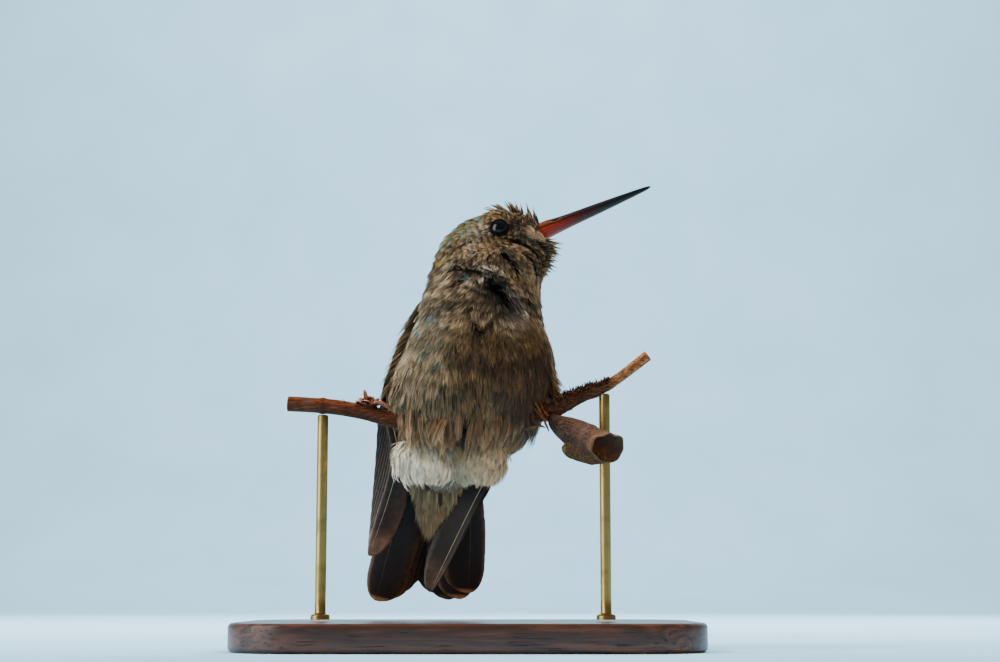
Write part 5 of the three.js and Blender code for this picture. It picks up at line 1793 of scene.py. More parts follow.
@dataclass
class Shoulders:
    """The feathers of the shoulders, which lie over the upper edge of each wing.

    `sides` gives the hand and the turn of each wing, `angles` the range round the trunk, and
    `levels` the heights of roots and tips.
    """

    skin: Skin
    sides: tuple = ((-1, 0), (1, 22))
    angles: tuple = (27, 76)
    levels: tuple = (60.6, 55.2)
    count: int = 150
    half_width: float = 1.1
    barb: float = 0.11
    point: float = 0.1

    def build(self) -> None:
        """Makes both shoulders as one piece."""
        rng = np.random.default_rng(37)
        trunk = self.skin.trunk
        roots, ends = [], []
        for hand, turn in self.sides:
            angle = turn + rng.uniform(*self.angles, self.count)
            roots.append(trunk.outside(hand, self.levels[0] + rng.normal(0, 0.7, self.count), angle, 0.0))
            low = self.levels[1] + rng.normal(0, 1.1, self.count)
            ends.append(trunk.outside(hand, low, angle, 1.8 + rng.uniform(0, 0.3, self.count)))
        roots, normals = self.skin.near(np.concatenate(roots))
        ends = np.concatenate(ends)
        path, flats, length = hanging(roots, ends, normals, normals)
        tones = uneven(BACK, 0.14, len(roots), rng)
        tufts = Tufts(
            path, flats, length, self.half_width, rng.uniform(1, 5, len(roots)), tones,
            self.skin.unwrap(roots), self.barb, self.point, contrast=0.25, rim=0.8, gather=0.3,
        )
        draft = tufts.draft(3, 6, 38, 0.06)
        draft.to_piece("coat_shoulders", CoatFinish("shoulder_barbs").material(), "body_feathers")


@dataclass(frozen=True)
class SkinFinish:
    """The skin under the coat, in the coat's own markings, darkened: painted shade under the coat."""

    name: str = "skin_under_feathers"

    def material(self) -> bpy.types.Material:
        """The finished material.

        Returns:
            The material.
        """
        shade = Shade(self.name, {"Roughness": 0.8, "Specular IOR Level": 0.15})
        pores = shade.noise(0.35, 3).between(0.3, 0.7)
        shade.feed("Base Color", shade.mix(pores * 0.5, shade.tint(), "1d1916"))
        shade.bump(pores, 0.05)
        return shade.material


# ---- eyes and bill


@dataclass(frozen=True)
class EyeFinish:
    """A wet, near-black ball: a black pupil in a very dark brown ring."""

    name: str = "eye_ball"

    def material(self) -> bpy.types.Material:
        """The finished material: `along` runs from the back of the ball to its front.

        Returns:
            The material.
        """
        shade = Shade(self.name, {
            "Roughness": 0.06, "Coat Weight": 0.3, "Coat Roughness": 0.03, "Specular IOR Level": 0.35,
        })
        ring = shade.value("along") + shade.noise(0.12, 2) * 0.03
        shade.feed("Base Color", shade.ramp(ring, (0.55, "0b0808"), (0.72, "2a1710"), (0.8, "050506")))
        return shade.material


@dataclass(frozen=True)
class LidFinish:
    """Bare blue-grey skin of the lids, wrinkled round the eye."""

    name: str = "eye_lid"

    def material(self) -> bpy.types.Material:
        """The finished material: `along` runs from the opening outwards.

        Returns:
            The material.
        """
        shade = Shade(self.name, {"Roughness": 0.75, "Specular IOR Level": 0.1})
        along = shade.value("along")
        wrinkles = (along * 40).wave() * 0.5 + shade.noise(0.16, 3) * 0.5
        tone = shade.mix(shade.value("lower") * (1 - along.between(0.12, 0.3)), "0d0c0c", "39424b")
        shade.feed("Base Color", shade.mix(wrinkles.between(0.2, 0.8), "080809", tone))
        shade.bump(wrinkles, 0.06)
        return shade.material


@dataclass
class Eyes:
    """Both eyes with their lids."""

    skull: Skull
    opening: tuple = (42.0, 31.0)
    outer: float = 84.0
    rim: float = 0.09

    def build(self) -> None:
        """Makes a ball and a lid for each side."""
        ball_finish, lid_finish = EyeFinish().material(), LidFinish().material()
        for side, name in ((1, "right"), (-1, "left")):
            self._ball(side).to_piece(f"eyeball_{name}", ball_finish, "eye", f"eye_{name}")
            self._lid(side).to_piece(f"eyelid_{name}", lid_finish, "crown_feathers")

    def _axes(self, side: int) -> tuple[Array, Array, Array]:
        """The line of sight, and the directions along and across the slit of the lids."""
        sight = self.skull.sight(side)
        along = unit(self.skull.forward - sight * (self.skull.forward @ sight))
        return sight, along, np.cross(sight, along)

    def _ball(self, side: int) -> Draft:
        """A ball whose front swells a little: radius times one plus a small bell at the pole.

        Args:
            side: -1 for the right eye, +1 for the left one.

        Returns:
            The ball.
        """
        sight, along, across = self._axes(side)
        polar = np.linspace(math.pi - 0.02, 0.02, 40)
        radius = self.skull.eye_radius * (0.985 + 0.03 * bell(polar, 0, 0.6))
        middles = self.skull.eye_middle(side) + np.outer(radius * np.cos(polar), sight)
        flat = radius * np.sin(polar)
        return loft(ellipses(middles, along, across, flat, flat, 48))

    def _lid(self, side: int) -> Draft:
        """A closed ring of skin over the ball.

        Going out from the opening, the polar angle grows from the opening's own, an oval, to the
        outer one, and the skin stands off the ball by a rim that rolls over, sinks and ends inside
        the head. The way back lies under the first.

        Args:
            side: -1 for the right eye, +1 for the left one.

        Returns:
            The lid.
        """
        sight, along, across = self._axes(side)
        turn = np.linspace(0, 2 * math.pi, 64, endpoint=False)
        wide, high = np.radians(self.opening)
        slit = wide * high / np.hypot(high * np.cos(turn), wide * np.sin(turn))
        sag = -np.cos(turn) * (along @ self.skull.up) - np.sin(turn) * (across @ self.skull.up)
        slit = slit * (1 + 0.45 * np.clip(sag, 0, 1))
        share = np.linspace(0, 1, 12)
        out = slit[:, None] * (1 - share) + math.radians(self.outer) * share**1.3
        stand = 0.03 + self.rim * np.sin(np.clip(share * 1.6, 0, 1) * math.pi) ** 0.7
        stand = stand - 0.5 * ease(0.8, 1, share)
        back = np.full_like(stand, -0.12) - 0.5 * ease(0.7, 1, share)
        polar = np.concatenate([out, out[:, ::-1]], 1)
        radius = self.skull.eye_radius + np.concatenate([stand, back[::-1]])
        way = (
            np.cos(polar)[..., None] * sight
            + (np.sin(polar) * np.cos(turn)[:, None])[..., None] * along
            + (np.sin(polar) * np.sin(turn)[:, None])[..., None] * across
        )
        rings = self.skull.eye_middle(side) + way * radius[None, :, None]
        columns = rings.shape[1]
        cells = grid_quads(len(turn) + 1, columns, True) % (len(turn) * columns)
        draft = Draft(rings.reshape(-1, 3), cells)
        lower = np.clip(-(way @ self.skull.up) * 2.2 - 0.1, 0, 1)
        draft.values = {
            "along": np.tile(np.concatenate([share, share[::-1]]), len(turn)),
            "lower": lower.ravel(),
        }
        return outward(draft)


@dataclass(frozen=True)
class HornFinish:
    """Smooth horn of the bill, coloured from root to tip."""

    name: str
    stops: tuple[tuple[float, str], ...]
    streak: str
    roughness: float = 0.42

    def material(self) -> bpy.types.Material:
        """The finished material: `along` runs from the root to the tip.

        Returns:
            The material.
        """
        shade = Shade(self.name, {"Specular IOR Level": 0.3})
        smear = shade.noise(1.6, 5) - 0.5
        tone = shade.ramp(shade.value("along") + smear * 0.14, *self.stops)
        wear = shade.noise(0.3, 4).between(0.55, 0.8)
        streaks = (shade.value("around") * 75 + shade.noise(2.2) * 5).sine().between(0.2, 1)
        fresh = 1 - shade.value("along").between(0.1, 0.42)
        tone = shade.mix(streaks * fresh * 0.35, tone, self.streak)
        shade.feed("Base Color", shade.mix(wear * 0.05, tone, "8f8580"))
        shade.feed("Roughness", self.roughness + wear * 0.25)
        shade.bump(shade.noise(0.25, 5), 0.015)
        return shade.material


UPPER_HORN = HornFinish(
    "horn_dark",
    ((0.0, "6b2f12"), (0.14, "4a2413"), (0.28, "231614"), (0.7, "1a1516"), (1.0, "0e0c0d")),
    "7a4518",
)
LOWER_HORN = HornFinish(
    "horn_red",
    ((0.0, "9a3208"), (0.12, "861c05"), (0.28, "640f05"), (0.42, "3f0d08"), (0.54, "220f0b"),
     (0.7, "120d0c")),
    "b5541a",
)


@dataclass
class Bill:
    """The two halves of the bill: rings of distance before its root, half width and half height."""

    skull: Skull
    rings: tuple = (
        (-1.8, 1.25, 1.1), (0.0, 1.6, 1.36), (2.0, 1.46, 1.26), (5.0, 1.2, 1.08), (10.0, 0.92, 0.84),
        (15.0, 0.6, 0.56), (18.4, 0.33, 0.33), (19.6, 0.1, 0.12),
    )
    mouth: float = -0.3
    parting: float = 0.05
    nostril: tuple = (1.5, 3.9, 0.42)

    def build(self) -> None:
        """Makes the upper and the lower half."""
        self._half(1).to_piece("bill_top", UPPER_HORN.material(), "bill_dark", "bill_upper")
        self._half(-1).to_piece("bill_bottom", LOWER_HORN.material(), "bill_red", "bill_lower")

    def _half(self, way: int) -> Draft:
        """One half, above or below the line of the mouth.

        A ring is half an ellipse, a little ridged along the top, closed by a flat that is hollowed
        by a tenth of its height. The upper half is grooved round each nostril.

        Args:
            way: +1 for the upper half, -1 for the lower one.

        Returns:
            The closed half.
        """
        ahead, wide, high = smooth_rows(self.rings, 90).T
        angle = np.linspace(0, math.pi, 25)
        flat = np.linspace(-1, 1, 13)[1:-1]
        sides = np.concatenate([np.cos(angle), flat])
        rise = np.concatenate([np.sin(angle) ** (0.85 if way > 0 else 1.0), 0.1 * (1 - flat**2)])
        across = wide[:, None] * (sides if way > 0 else 0.93 * sides)
        tall = high * (1 - way * self.mouth)
        up = self.mouth * high[:, None] + way * (self.parting / 2 + tall[:, None] * rise)
        if way > 0:
            start, end, deep = self.nostril
            run = np.sin(math.pi * np.clip((ahead - start) / (end - start), 0, 1))[:, None]
            level = np.abs(sides) * bell(rise, 0.45, 0.2) * (np.arange(len(sides)) < 25)
            across = across * (1 - deep * run * level)
            up = up + 0.16 * bell(ahead, 1.2, 1.0)[:, None] * rise
        return loft(self.skull.at(ahead[:, None], up, across))


# ---- wings and tail


@dataclass
class Vane:
    """A firm feather along a line: shaft, and a thin cambered web to each side of it.

    `edge` is the direction from the shaft to the trailing edge, or rows of it from root to tip, and
    `lead` is the share of the width before the shaft. The width grows from its root, is full from a
    third on and closes in a rounded end. `tones` are the colours of the web, its edges, its tip and
    the shaft.
    """

    line: Array
    edge: Array
    width: float
    tones: tuple[str, str, str, str]
    lead: float = 0.5
    rows: int = 46
    round_from: float = 0.72
    camber: float = 0.08
    shaft: float = 0.17
    seed: int = 0
    tip_from: float = 0.86
    rim_power: float = 2.5

    def draft(self) -> Draft:
        """The web as a flattened closed loft, with the shaft as a thin rod through it.

        A point of the web is the middle, plus the side times the offset, plus the face times the
        camber times one less the square of the offset's share, plus or minus half the thickness.

        Returns:
            Web and shaft as one draft.
        """
        rng = np.random.default_rng(self.seed)
        line = smooth_rows(self.line, self.rows)
        reach = np.linalg.norm(np.diff(line, axis=0), axis=1).sum()
        t = np.linspace(0, 1, self.rows)
        tangent = unit(np.gradient(line, axis=0))
        plain = np.ndim(self.edge) == 1
        edge = np.broadcast_to(self.edge, line.shape) if plain else smooth_rows(self.edge, self.rows)
        side = square_to(edge, tangent)
        face = np.cross(tangent, side)
        end = np.sqrt(np.clip(1 - ((t - self.round_from) / (1.001 - self.round_from)).clip(0) ** 2.2, 0, 1))
        full = self.width * np.minimum(1, 0.4 + 1.9 * t) * np.maximum(end, 0.03)
        columns = 9
        share = np.linspace(-1, 1, columns)
        over = np.concatenate([share, share[-2:0:-1]])
        upper = np.concatenate([np.ones(columns), -np.ones(columns - 2)])
        nicks = np.zeros((2, self.rows))
        for place in rng.uniform(0.3, 0.97, 3):
            nicks[rng.integers(2)] += rng.uniform(0.02, 0.1) * bell(t, place, 0.9 / self.rows)
        jag = 1 - nicks - rng.uniform(0, 0.02, nicks.shape)
        before = self.lead * full * jag[0]
        after = (1 - self.lead) * full * jag[1]
        offset = np.where(over < 0, before[:, None] * over, after[:, None] * over)
        thick = 0.05 * (1 - 0.6 * np.abs(over)) * upper * (1 - 0.4 * t[:, None])
        lift = self.camber * self.width * (1 - over**2) * end[:, None] + thick
        points = line[:, None] + side[:, None] * offset[..., None] + face[:, None] * lift[..., None]
        web = loft(points)
        base, rim, tip, quill = colours(self.tones)
        t_all = np.concatenate([np.repeat(t, len(over)), [0, 1]])
        over_all = np.concatenate([np.tile(over, self.rows), [0, 0]])
        toward = (np.abs(over_all) ** self.rim_power * 0.8)[:, None]
        last = ease(self.tip_from, 0.5 + 0.5 * self.tip_from, t_all)[:, None]
        tint = (base * (1 - toward) + rim * toward) * (1 - last) + tip * last
        cloud = 1 + 0.06 * ripple(web.points, 2.5, self.seed)
        web.tint = tint * (1 + rng.normal(0, 0.07)) * cloud[:, None]
        away = np.concatenate([np.abs(offset).ravel(), [0, 0]])
        web.values = {"barb": (t_all * reach - 0.8 * away) / 0.32}
        web.bake = np.stack([t_all, 0.5 + 0.5 * over_all], 1)
        raised = line + face * (self.camber * self.width * end)[:, None]
        radius = self.shaft * (1 - 0.85 * t)
        stem = loft(ellipses(raised, side, face, radius, radius, 6))
        run = np.linspace(0, 1, len(stem.points))[:, None]
        stem.tint = quill * (1 - 0.2 * run)
        stem.values = {"barb": np.full(len(stem.points), 0.25)}
        stem.bake = np.concatenate([run, np.full(run.shape, 0.5)], 1)
        return Draft.joined([web, stem])


WING_TONES = ("3a3029", "54463a", "5e4f42", "8a7862")
OUTER_TONES = ("3a332f", "6d5c50", "857263", "d8c8ac")
COVERT_TONES = ("36321f", "55492f", "6b5c3c", "55462f")
SCALE_TONES = ("33301b", "5f5230", "77673f", "4a4028")
OUTER_TAIL = ("151213", "6d4a30", "a98a66", "4f3a2c")
INNER_TAIL = ("151213", "33251d", "5a4434", "4f3a2c")
# Darker copies of the hand's tones for the left wing: painted shade, as the key light falls on that wing.
SHADED_OUTER_TONES = ("261f1a", "42362c", "54463a", "d0bd9c")
SHADED_WING_TONES = ("241d18", "382d25", "4a3d32", "8a7862")


@dataclass
class Wing:
    """A folded wing. Pairs run from the leading edge to the back of the bird.

    `hand` is -1 for the right wing and +1 for the left one, and `turn` carries a wing round the
    trunk. The long feathers run over `root`, `bend`, `low` and `tip`, with `edges` at the root and at
    the outer and inner tip. The tiers, from `secondaries` to `median`, lie on the trunk.
    """

    trunk: Trunk
    name: str
    hand: int
    turn: float
    low: tuple
    tip: tuple
    edges: tuple
    seed: int
    root: tuple = ((52.5, 50.5), (14, 36), (1.0, 1.6))
    bend: tuple = ((42.8, 45.5), (15, 37), (2.3, 3.2))
    primary_width: tuple = (5.0, 4.2)
    secondaries: tuple = (6, ((32, 56), (36, 60), (40, 60)), ((52.5, 54.5), (46, 48.5), (37.5, 42)),
                          ((1.8, 1.2), (3.0, 1.7), (3.4, 1.6)), 5.0)
    greater: tuple = (9, ((12, 56), (14, 60), (16, 62)), ((54, 56), (50, 52), (46, 48.5)),
                      ((0.8, 1.3), (1.6, 2.1), (2.2, 2.3)), 3.6)
    median: tuple = (9, ((13, 54), (14, 58), (15, 60)), ((56, 57), (53.3, 54.5), (50.6, 52)),
                     ((0.4, 0.9), (1.4, 2.0), (2.1, 2.6)), 3.0)
    arm: tuple = ((10, 64), (58.2, 47.5), 0.2, 1.2)
    scale_width: float = 2.3
    hand_tones: tuple = (OUTER_TONES, WING_TONES)

    def build(self, material: bpy.types.Material) -> None:
        """Makes the wing as one piece of feathers over a domed arm.

        Args:
            material: The finish of its feathers.
        """
        vanes = self._primaries() + self._tier(self.secondaries, WING_TONES, 1)
        for offset, tier in ((2, self.greater), (3, self.median)):
            vanes += self._tier(tier, COVERT_TONES, offset)
        drafts = [self._dome(), *(vane.draft() for vane in vanes + self._scales())]
        Draft.atlas(drafts).to_piece(f"feathers_{self.name}", material, "flight_feathers", self.name)

    def _rearward(self, degrees: float) -> Array:
        """The direction round the trunk towards its back, at an angle from its side."""
        turn = math.radians(degrees)
        return np.array([-self.hand * math.sin(turn), math.cos(turn), 0])

    def _on_trunk(self, level: Sequence, angle: Sequence, lift: Sequence, share: float) -> Array:
        """A place over the trunk, between two heights, angles and lifts."""
        degrees = self.turn + between(angle, share)
        return self.trunk.outside(self.hand, between(level, share), degrees, between(lift, share))

    def _primaries(self) -> list[Vane]:
        """The ten long feathers of the hand, from the outermost in.

        Returns:
            The feathers.
        """
        vanes = []
        for i in range(10):
            share = i / 9
            stations = [self._on_trunk(*part, share) for part in (self.root, self.bend)]
            stations += [between(self.low, share), between(self.tip, share**1.3)]
            outer = between(self.edges[1:], share)
            edge = [between((self.edges[0], outer), min(1, 1.3 * place)) for place in np.linspace(0, 1, 5)]
            vanes.append(Vane(
                np.array(stations), np.array(edge), float(between(self.primary_width, share)),
                self.hand_tones[min(i, 1)], lead=0.24, rows=70, round_from=0.74, camber=0.07,
                shaft=0.2 if i == 0 else 0.16, seed=self.seed + i,
            ))
        return vanes

    def _tier(self, tier: tuple, tones: tuple, offset: int) -> list[Vane]:
        """Feathers that lie on the trunk, one beside the other.

        Args:
            tier: Their count, then pairs of angles, levels and lifts from root to tip, and the width.
            tones: Colours of web, edges, tip and shaft.
            offset: Number of the tier, which sets its seeds.

        Returns:
            The feathers.
        """
        count, angles, levels, lifts, width = tier
        vanes = []
        for i in range(count):
            share = i / (count - 1)
            stations = [self._on_trunk(*part, share) for part in zip(levels, angles, lifts)]
            vanes.append(Vane(
                np.array(stations), self._rearward(self.turn + between(angles[1], share)), width, tones,
                lead=0.4, rows=34, round_from=0.66, camber=0.06, shaft=0.1,
                seed=self.seed + 20 * offset + i,
            ))
        return vanes

    def _place(self, u: Array, v: Array, lift: Array) -> Array:
        """A place over the arm: u goes round the trunk and v goes down."""
        angles, levels, _, _ = self.arm
        return self.trunk.outside(self.hand, between(levels, v), self.turn + between(angles, u), lift)

    def _rise(self, u: Array, v: Array) -> Array:
        """How far the arm stands off the trunk: the root of the product of two arches."""
        _, _, rim, rise = self.arm
        arch = np.sin(math.pi * (0.04 + 0.92 * u)) * np.sin(math.pi * (0.05 + 0.85 * v))
        return rim + rise * np.sqrt(np.clip(arch, 0, 1))

    def _dome(self) -> Draft:
        """The arm as a closed low dome on the trunk.

        Returns:
            The dome.
        """
        u, v = np.meshgrid(np.linspace(0, 1, 24), np.linspace(0, 1, 20))
        outer = self._place(u, v, self._rise(u, v) - 0.35)
        inner = self._place(u, v, -0.6)
        draft = loft(np.concatenate([outer, inner[:, ::-1]], 1))
        return draft.coloured("3b3a29", barb=draft.points[:, 2] / 0.3)

    def _scales(self) -> list[Vane]:
        """The smallest feathers of the arm, in rows like roof tiles.

        Returns:
            The feathers, row by row.
        """
        rng = np.random.default_rng(self.seed)
        vanes = []
        for row in range(8):
            for i in range(9):
                u = np.clip((i + 0.5 * (row % 2)) / 8.5 + rng.normal(0, 0.02), 0.02, 0.98)
                v = np.array([0.06, 0.17, 0.28]) + 0.095 * row + rng.normal(0, 0.01)
                v = np.minimum(v, 1.05)
                rise = self._rise(np.full(3, u), np.clip(v, 0, 1)) + np.array([-0.3, 0.1, 0.3])
                vanes.append(Vane(
                    self._place(np.full(3, u), v, rise),
                    self._rearward(self.turn + between(self.arm[0], u)), self.scale_width, SCALE_TONES,
                    rows=7, round_from=0.45, camber=0.08, shaft=0.05, seed=self.seed + 90 + 9 * row + i,
                ))
        return vanes


@dataclass
class Tail:
    """The ten tail feathers, and rows of short feathers over their roots.

    `tips` are x and height of each tip and `root` the first and last x, the y and the height of the
    roots. A row of `upper` has its count, its roots and tips from side to side, how far the tips
    drop in the middle, the width and how far a feather bulges.
    """

    tips: tuple = (
        (-16.5, 7.9), (-15.6, 8.3), (-14.5, 9.2), (-13.2, 10.5), (-11.9, 12.2),
        (-7.4, 11.0), (-5.9, 9.1), (-4.0, 8.1), (-2.0, 8.2), (-0.5, 9.2),
    )
    root: tuple = (-7.6, -1.7, 8.9, 33.0)
    end_y: float = 14.7
    layer: float = 0.38
    width: float = 7.4
    upper: tuple = (
        (5, ((-7.2, 9.2, 34), (-2.0, 9.2, 34)), ((-9.6, 14.2, 23.0), (-2.2, 14.2, 23.0)), 1.5, 4.2, -0.8),
        (6, ((-7.4, 8.6, 36), (-0.6, 8.6, 36)), ((-9.0, 13.4, 27.5), (-0.6, 13.4, 27.5)), 1.2, 3.6, -1.0),
    )

    def build(self, material: bpy.types.Material) -> None:
        """Makes the tail as one piece."""
        drafts = [vane.draft() for vane in self._rectrices() + self._tiles()]
        Draft.atlas(drafts).to_piece("feathers_tail", material, "tail_feathers", "tail")

    def _rectrices(self) -> list[Vane]:
        """The fan: the outermost feathers lie nearest to the belly.

        Returns:
            The feathers, from the bird's right to its left.
        """
        vanes = []
        for i, (x, z) in enumerate(self.tips):
            share = i / 9
            deep = self.layer * (min(i, 9 - i) + (0.5 if i > 4 else 0))
            left, right, root_y, root_z = self.root
            root = np.array([left + (right - left) * share, root_y + deep, root_z])
            end = np.array([x, self.end_y + deep, z])
            middle = (root + end) / 2 + [2 * share - 1, 0.3, 0]
            lead = 0.36 + 0.14 * share if share < 0.5 else 0.5 + 0.14 * share
            tones = OUTER_TAIL if i in (0, 1, 8, 9) else INNER_TAIL
            vanes.append(Vane(
                np.array([root, middle, end]), ACROSS, self.width, tones, lead, rows=80, round_from=0.8,
                camber=0.03, shaft=0.2, seed=300 + i, tip_from=0.965, rim_power=7.0,
            ))
        return vanes

    def _tiles(self) -> list[Vane]:
        """Rows of short feathers that overlap like tiles over the tail's roots.

        Returns:
            The feathers, row by row.
        """
        vanes = []
        for row, (count, roots, tips, drop, width, bulge) in enumerate(self.upper):
            for i in range(count):
                share = i / (count - 1)
                root = between(roots, share)
                end = between(tips, share) - UPWARD * math.sin(math.pi * share) * drop
                middle = (root + end) / 2 - BEHIND * bulge
                vanes.append(Vane(
                    np.array([root, middle, end]), ACROSS, width, SCALE_TONES, rows=30, round_from=0.6,
                    camber=-0.06, shaft=0.1, seed=400 + 9 * row + i,
                ))
        return vanes


@dataclass
class SoftFeathers:
    """The soft feathers under the tail and the puffs of down before the thighs."""

    core_line: tuple = ((-4.8, 4.4, 33), (-5.2, 6.0, 29), (-5.8, 8.2, 24.5), (-6.8, 10.2, 20.5))
    under_rows: tuple = (
        (((-7.6, 7.6, 26.5), (-5.0, 7.6, 26.5)), ((-8.2, 10.6, 19.6), (-5.4, 10.6, 19.6)), 1.1),
        (((-8.0, 7.0, 28.0), (-4.2, 7.0, 28.0)), ((-8.9, 10.1, 21.3), (-4.3, 10.1, 21.3)), 1.1),
        (((-8.4, 6.2, 29.2), (-3.4, 6.2, 29.2)), ((-9.3, 9.4, 23.2), (-3.1, 9.4, 23.2)), 1.0),
        (((-8.6, 5.4, 30.4), (-2.4, 5.4, 30.4)), ((-9.8, 8.7, 25.2), (-2.1, 8.7, 25.2)), 0.9),
        (((-8.6, 4.6, 31.4), (-1.6, 4.6, 31.4)), ((-10.2, 7.9, 27.0), (-1.2, 7.9, 27.0)), 0.7),
        (((-8.6, 4.0, 32.2), (-1.0, 4.0, 32.2)), ((-10.3, 7.0, 28.8), (-0.4, 7.0, 28.8)), 0.5),
    )
    under_tones: tuple = ("463b2a", "75674a", "b0a27f")
    under_half_width: float = 1.35
    under_lift: float = 5.0
    under_barb: float = 0.13
    puffs: tuple = (
        ("right", (-7.2, -3.0, 31.2), (5.2, 3.2, 3.9), 41, ("d6c6a4", "f3e6c8", "fff8e4")),
        ("left", (1.6, -2.9, 30.9), (4.6, 3.2, 3.8), 42, ("93805a", "cdb98e", "f4e8cc")),
    )
    parting: float = -2.7
    puff_count: int = 1700
    puff_barb: float = 0.065
    core_share: float = 0.68

    def build(self) -> None:
        """Makes the coverts and both puffs."""
        self._coverts()
        down = CoatFinish("white_down_barbs", 0.75, 0.3, 0.15).material()
        for name, middle, size, seed, codes in self.puffs:
            draft = self._puff(np.array(middle), np.array(size), seed, codes)
            draft.to_piece(f"puff_{name}", down, "white_down", f"thigh_tuft_{name}")

    def _coverts(self) -> None:
        """Rows of soft feathers over a flat core that tapers towards the tail."""
        rng = np.random.default_rng(61)
        roots, ends = [], []
        for (first, last), (start, stop), drop in self.under_rows:
            share = (np.arange(17) / 16)[:, None]
            roots.append(between((first, last), share))
            ends.append(between((start, stop), share) - UPWARD * np.sin(math.pi * share) * drop)
        roots, ends = np.concatenate(roots), np.concatenate(ends)
        roots = roots + rng.normal(0, 0.15, roots.shape)
        ends = ends + rng.normal(0, 0.25, ends.shape)
        facing = np.tile([0, -1.0, -0.3], (len(roots), 1))
        path, normals, length = hanging(roots, ends, np.tile(-0.5 * BEHIND, (len(roots), 1)), facing)
        tones = uneven(self.under_tones, 0.1, len(roots), rng)
        bake = np.stack([0.5 + (roots[:, 0] + 5) / 14, np.clip((roots[:, 2] - 18) / 16, 0, 1)], 1)
        tufts = Tufts(
            path, normals, length, self.under_half_width, self.under_lift, tones, bake, self.under_barb,
            point=0.1, contrast=0.1, gather=0.25, rim=1.0,
        )
        line = smooth_rows(self.core_line, 20)
        share = np.linspace(0, 1, 20)
        up = np.cross(ACROSS, unit(np.gradient(line, axis=0)))
        core = loft(ellipses(line, ACROSS, up, 4.3 - 2.9 * share, 1.2 - 0.8 * share, 24)).coloured("3b3424")
        core.bake = flat_unwrap(core.points)
        finish = CoatFinish("covert_barbs").material()
        joined = Draft.joined([core, tufts.draft(9, 4, 62, 0.04)])
        joined.to_piece("coat_undertail", finish, "covert_feathers", "undertail_coverts")

    def _puff(self, middle: Array, size: Array, seed: int, codes: tuple) -> Draft:
        """A puff: a rounded core under fans of down that are combed over it and hang.

        A fan follows a meridian of an egg: the turn about its upright line stays and the angle from
        the top grows along the fan. Its barbs leave the egg by their lift and hang out at the end.

        Args:
            middle: The middle of the egg.
            size: Half its width, depth and height.
            seed: Seed of the draws.
            codes: Colours of root, body and tip.

        Returns:
            Core and fans as one draft.
        """
        rng = np.random.default_rng(seed)
        count = self.puff_count
        along = np.linspace(0, 1, 4)
        turn = rng.uniform(-math.pi - 0.35, 0.35, count)
        start = np.arccos(rng.uniform(-0.75, 0.95, count))
        shell = rng.uniform(0.7, 0.95, count)
        angle = start[:, None] + rng.uniform(0.4, 0.7, (count, 1)) * along
        swell = np.sin(np.minimum(angle, 2.75)) * shell[:, None]
        fall = np.cos(np.minimum(angle, 2.75)) - 0.1 * np.maximum(angle - 2.0, 0)
        turns = turn[:, None] + rng.normal(0, 0.1, (count, 1)) * along
        way = np.stack([np.cos(turns) * swell, np.sin(turns) * swell, fall * shell[:, None]], -1)
        path = middle + way * size
        normals = unit(way * [1, 1, 0.6] + [0, 0, 0.05])
        beyond = np.sign(middle[0] - self.parting) * (path[:, 3, 0] - self.parting)
        keep = (beyond > -1.6) & (path[:, 3, 1] < 0.4)
        path, normals, turn, start = path[keep], normals[keep], turn[keep], start[keep]
        count = len(path)
        length = np.linalg.norm(np.diff(path, axis=1), axis=2).sum(1)
        tones = uneven(codes, 0.05, count, rng)
        bake = np.stack([turn / 8 + 0.75, start / math.pi], 1)
        tufts = Tufts(
            path, normals, length, rng.uniform(0.6, 1.1, count), rng.uniform(8, 48, count), tones, bake,
            self.puff_barb, point=0.1, contrast=0.14, gather=0.1, rim=0.3,
        )
        core = egg(middle, size * self.core_share, 0.02, 18, 28).coloured(codes[0])
        core.bake = np.full((len(core.points), 2), 0.02)
        return Draft.joined([core, tufts.draft(3, 6, seed + 1, 0.16)])


# ---- perch, bud, leaf and feet


@dataclass(frozen=True)
class BarkFinish:
    """Dry vine bark: long fibres in orange-brown and red-brown, with grey weathering."""

    name: str = "vine_bark"

    def material(self) -> bpy.types.Material:
        """The finished material: `rough` is 1 where the bark is cracked, `worn` where it is weathered.

        Returns:
            The material.
        """
        shade = Shade(self.name, {"Specular IOR Level": 0.25})
        fibres = shade.noise(0.16, 6, shade.stretched(0.09, 1, 1))
        blotch = shade.noise(3.2, 4)
        smooth = shade.ramp(fibres, (0.3, "240f07"), (0.5, "48200d"), (0.68, "6e3d1c"))
        cracked = shade.ramp(fibres, (0.3, "1c1009"), (0.5, "442714"), (0.7, "6d4a2c"))
        worn = shade.ramp(fibres, (0.32, "4a2612"), (0.5, "8a5730"), (0.66, "b98e60"))
        tone = shade.mix(shade.value("worn"), shade.mix(shade.value("rough"), smooth, cracked), worn)
        tone = shade.mix(blotch.between(0.5, 0.75) * 0.25, tone, "6d5645")
        tone = shade.mix(shade.noise(1.1, 5).between(0.58, 0.72) * 0.6, tone, "2b120a")
        shade.feed("Base Color", tone)
        shade.feed("Roughness", 0.62 + fibres * 0.3)
        shade.bump(fibres, 0.16, 0.9)
        return shade.material


@dataclass(frozen=True)
class DryScaleFinish:
    """Papery dry scales and fibres in the colour kept with the mesh."""

    name: str = "dry_scale"

    def material(self) -> bpy.types.Material:
        """The finished material.

        Returns:
            The material.
        """
        shade = Shade(self.name, {"Roughness": 0.82, "Specular IOR Level": 0.2})
        lines = shade.noise(0.14, 5, shade.stretched(1, 1, 0.25))
        shade.feed("Base Color", shade.mix(lines.between(0.35, 0.65), shade.darker("6e5a50"), shade.tint()))
        shade.bump(lines, 0.08)
        return shade.material


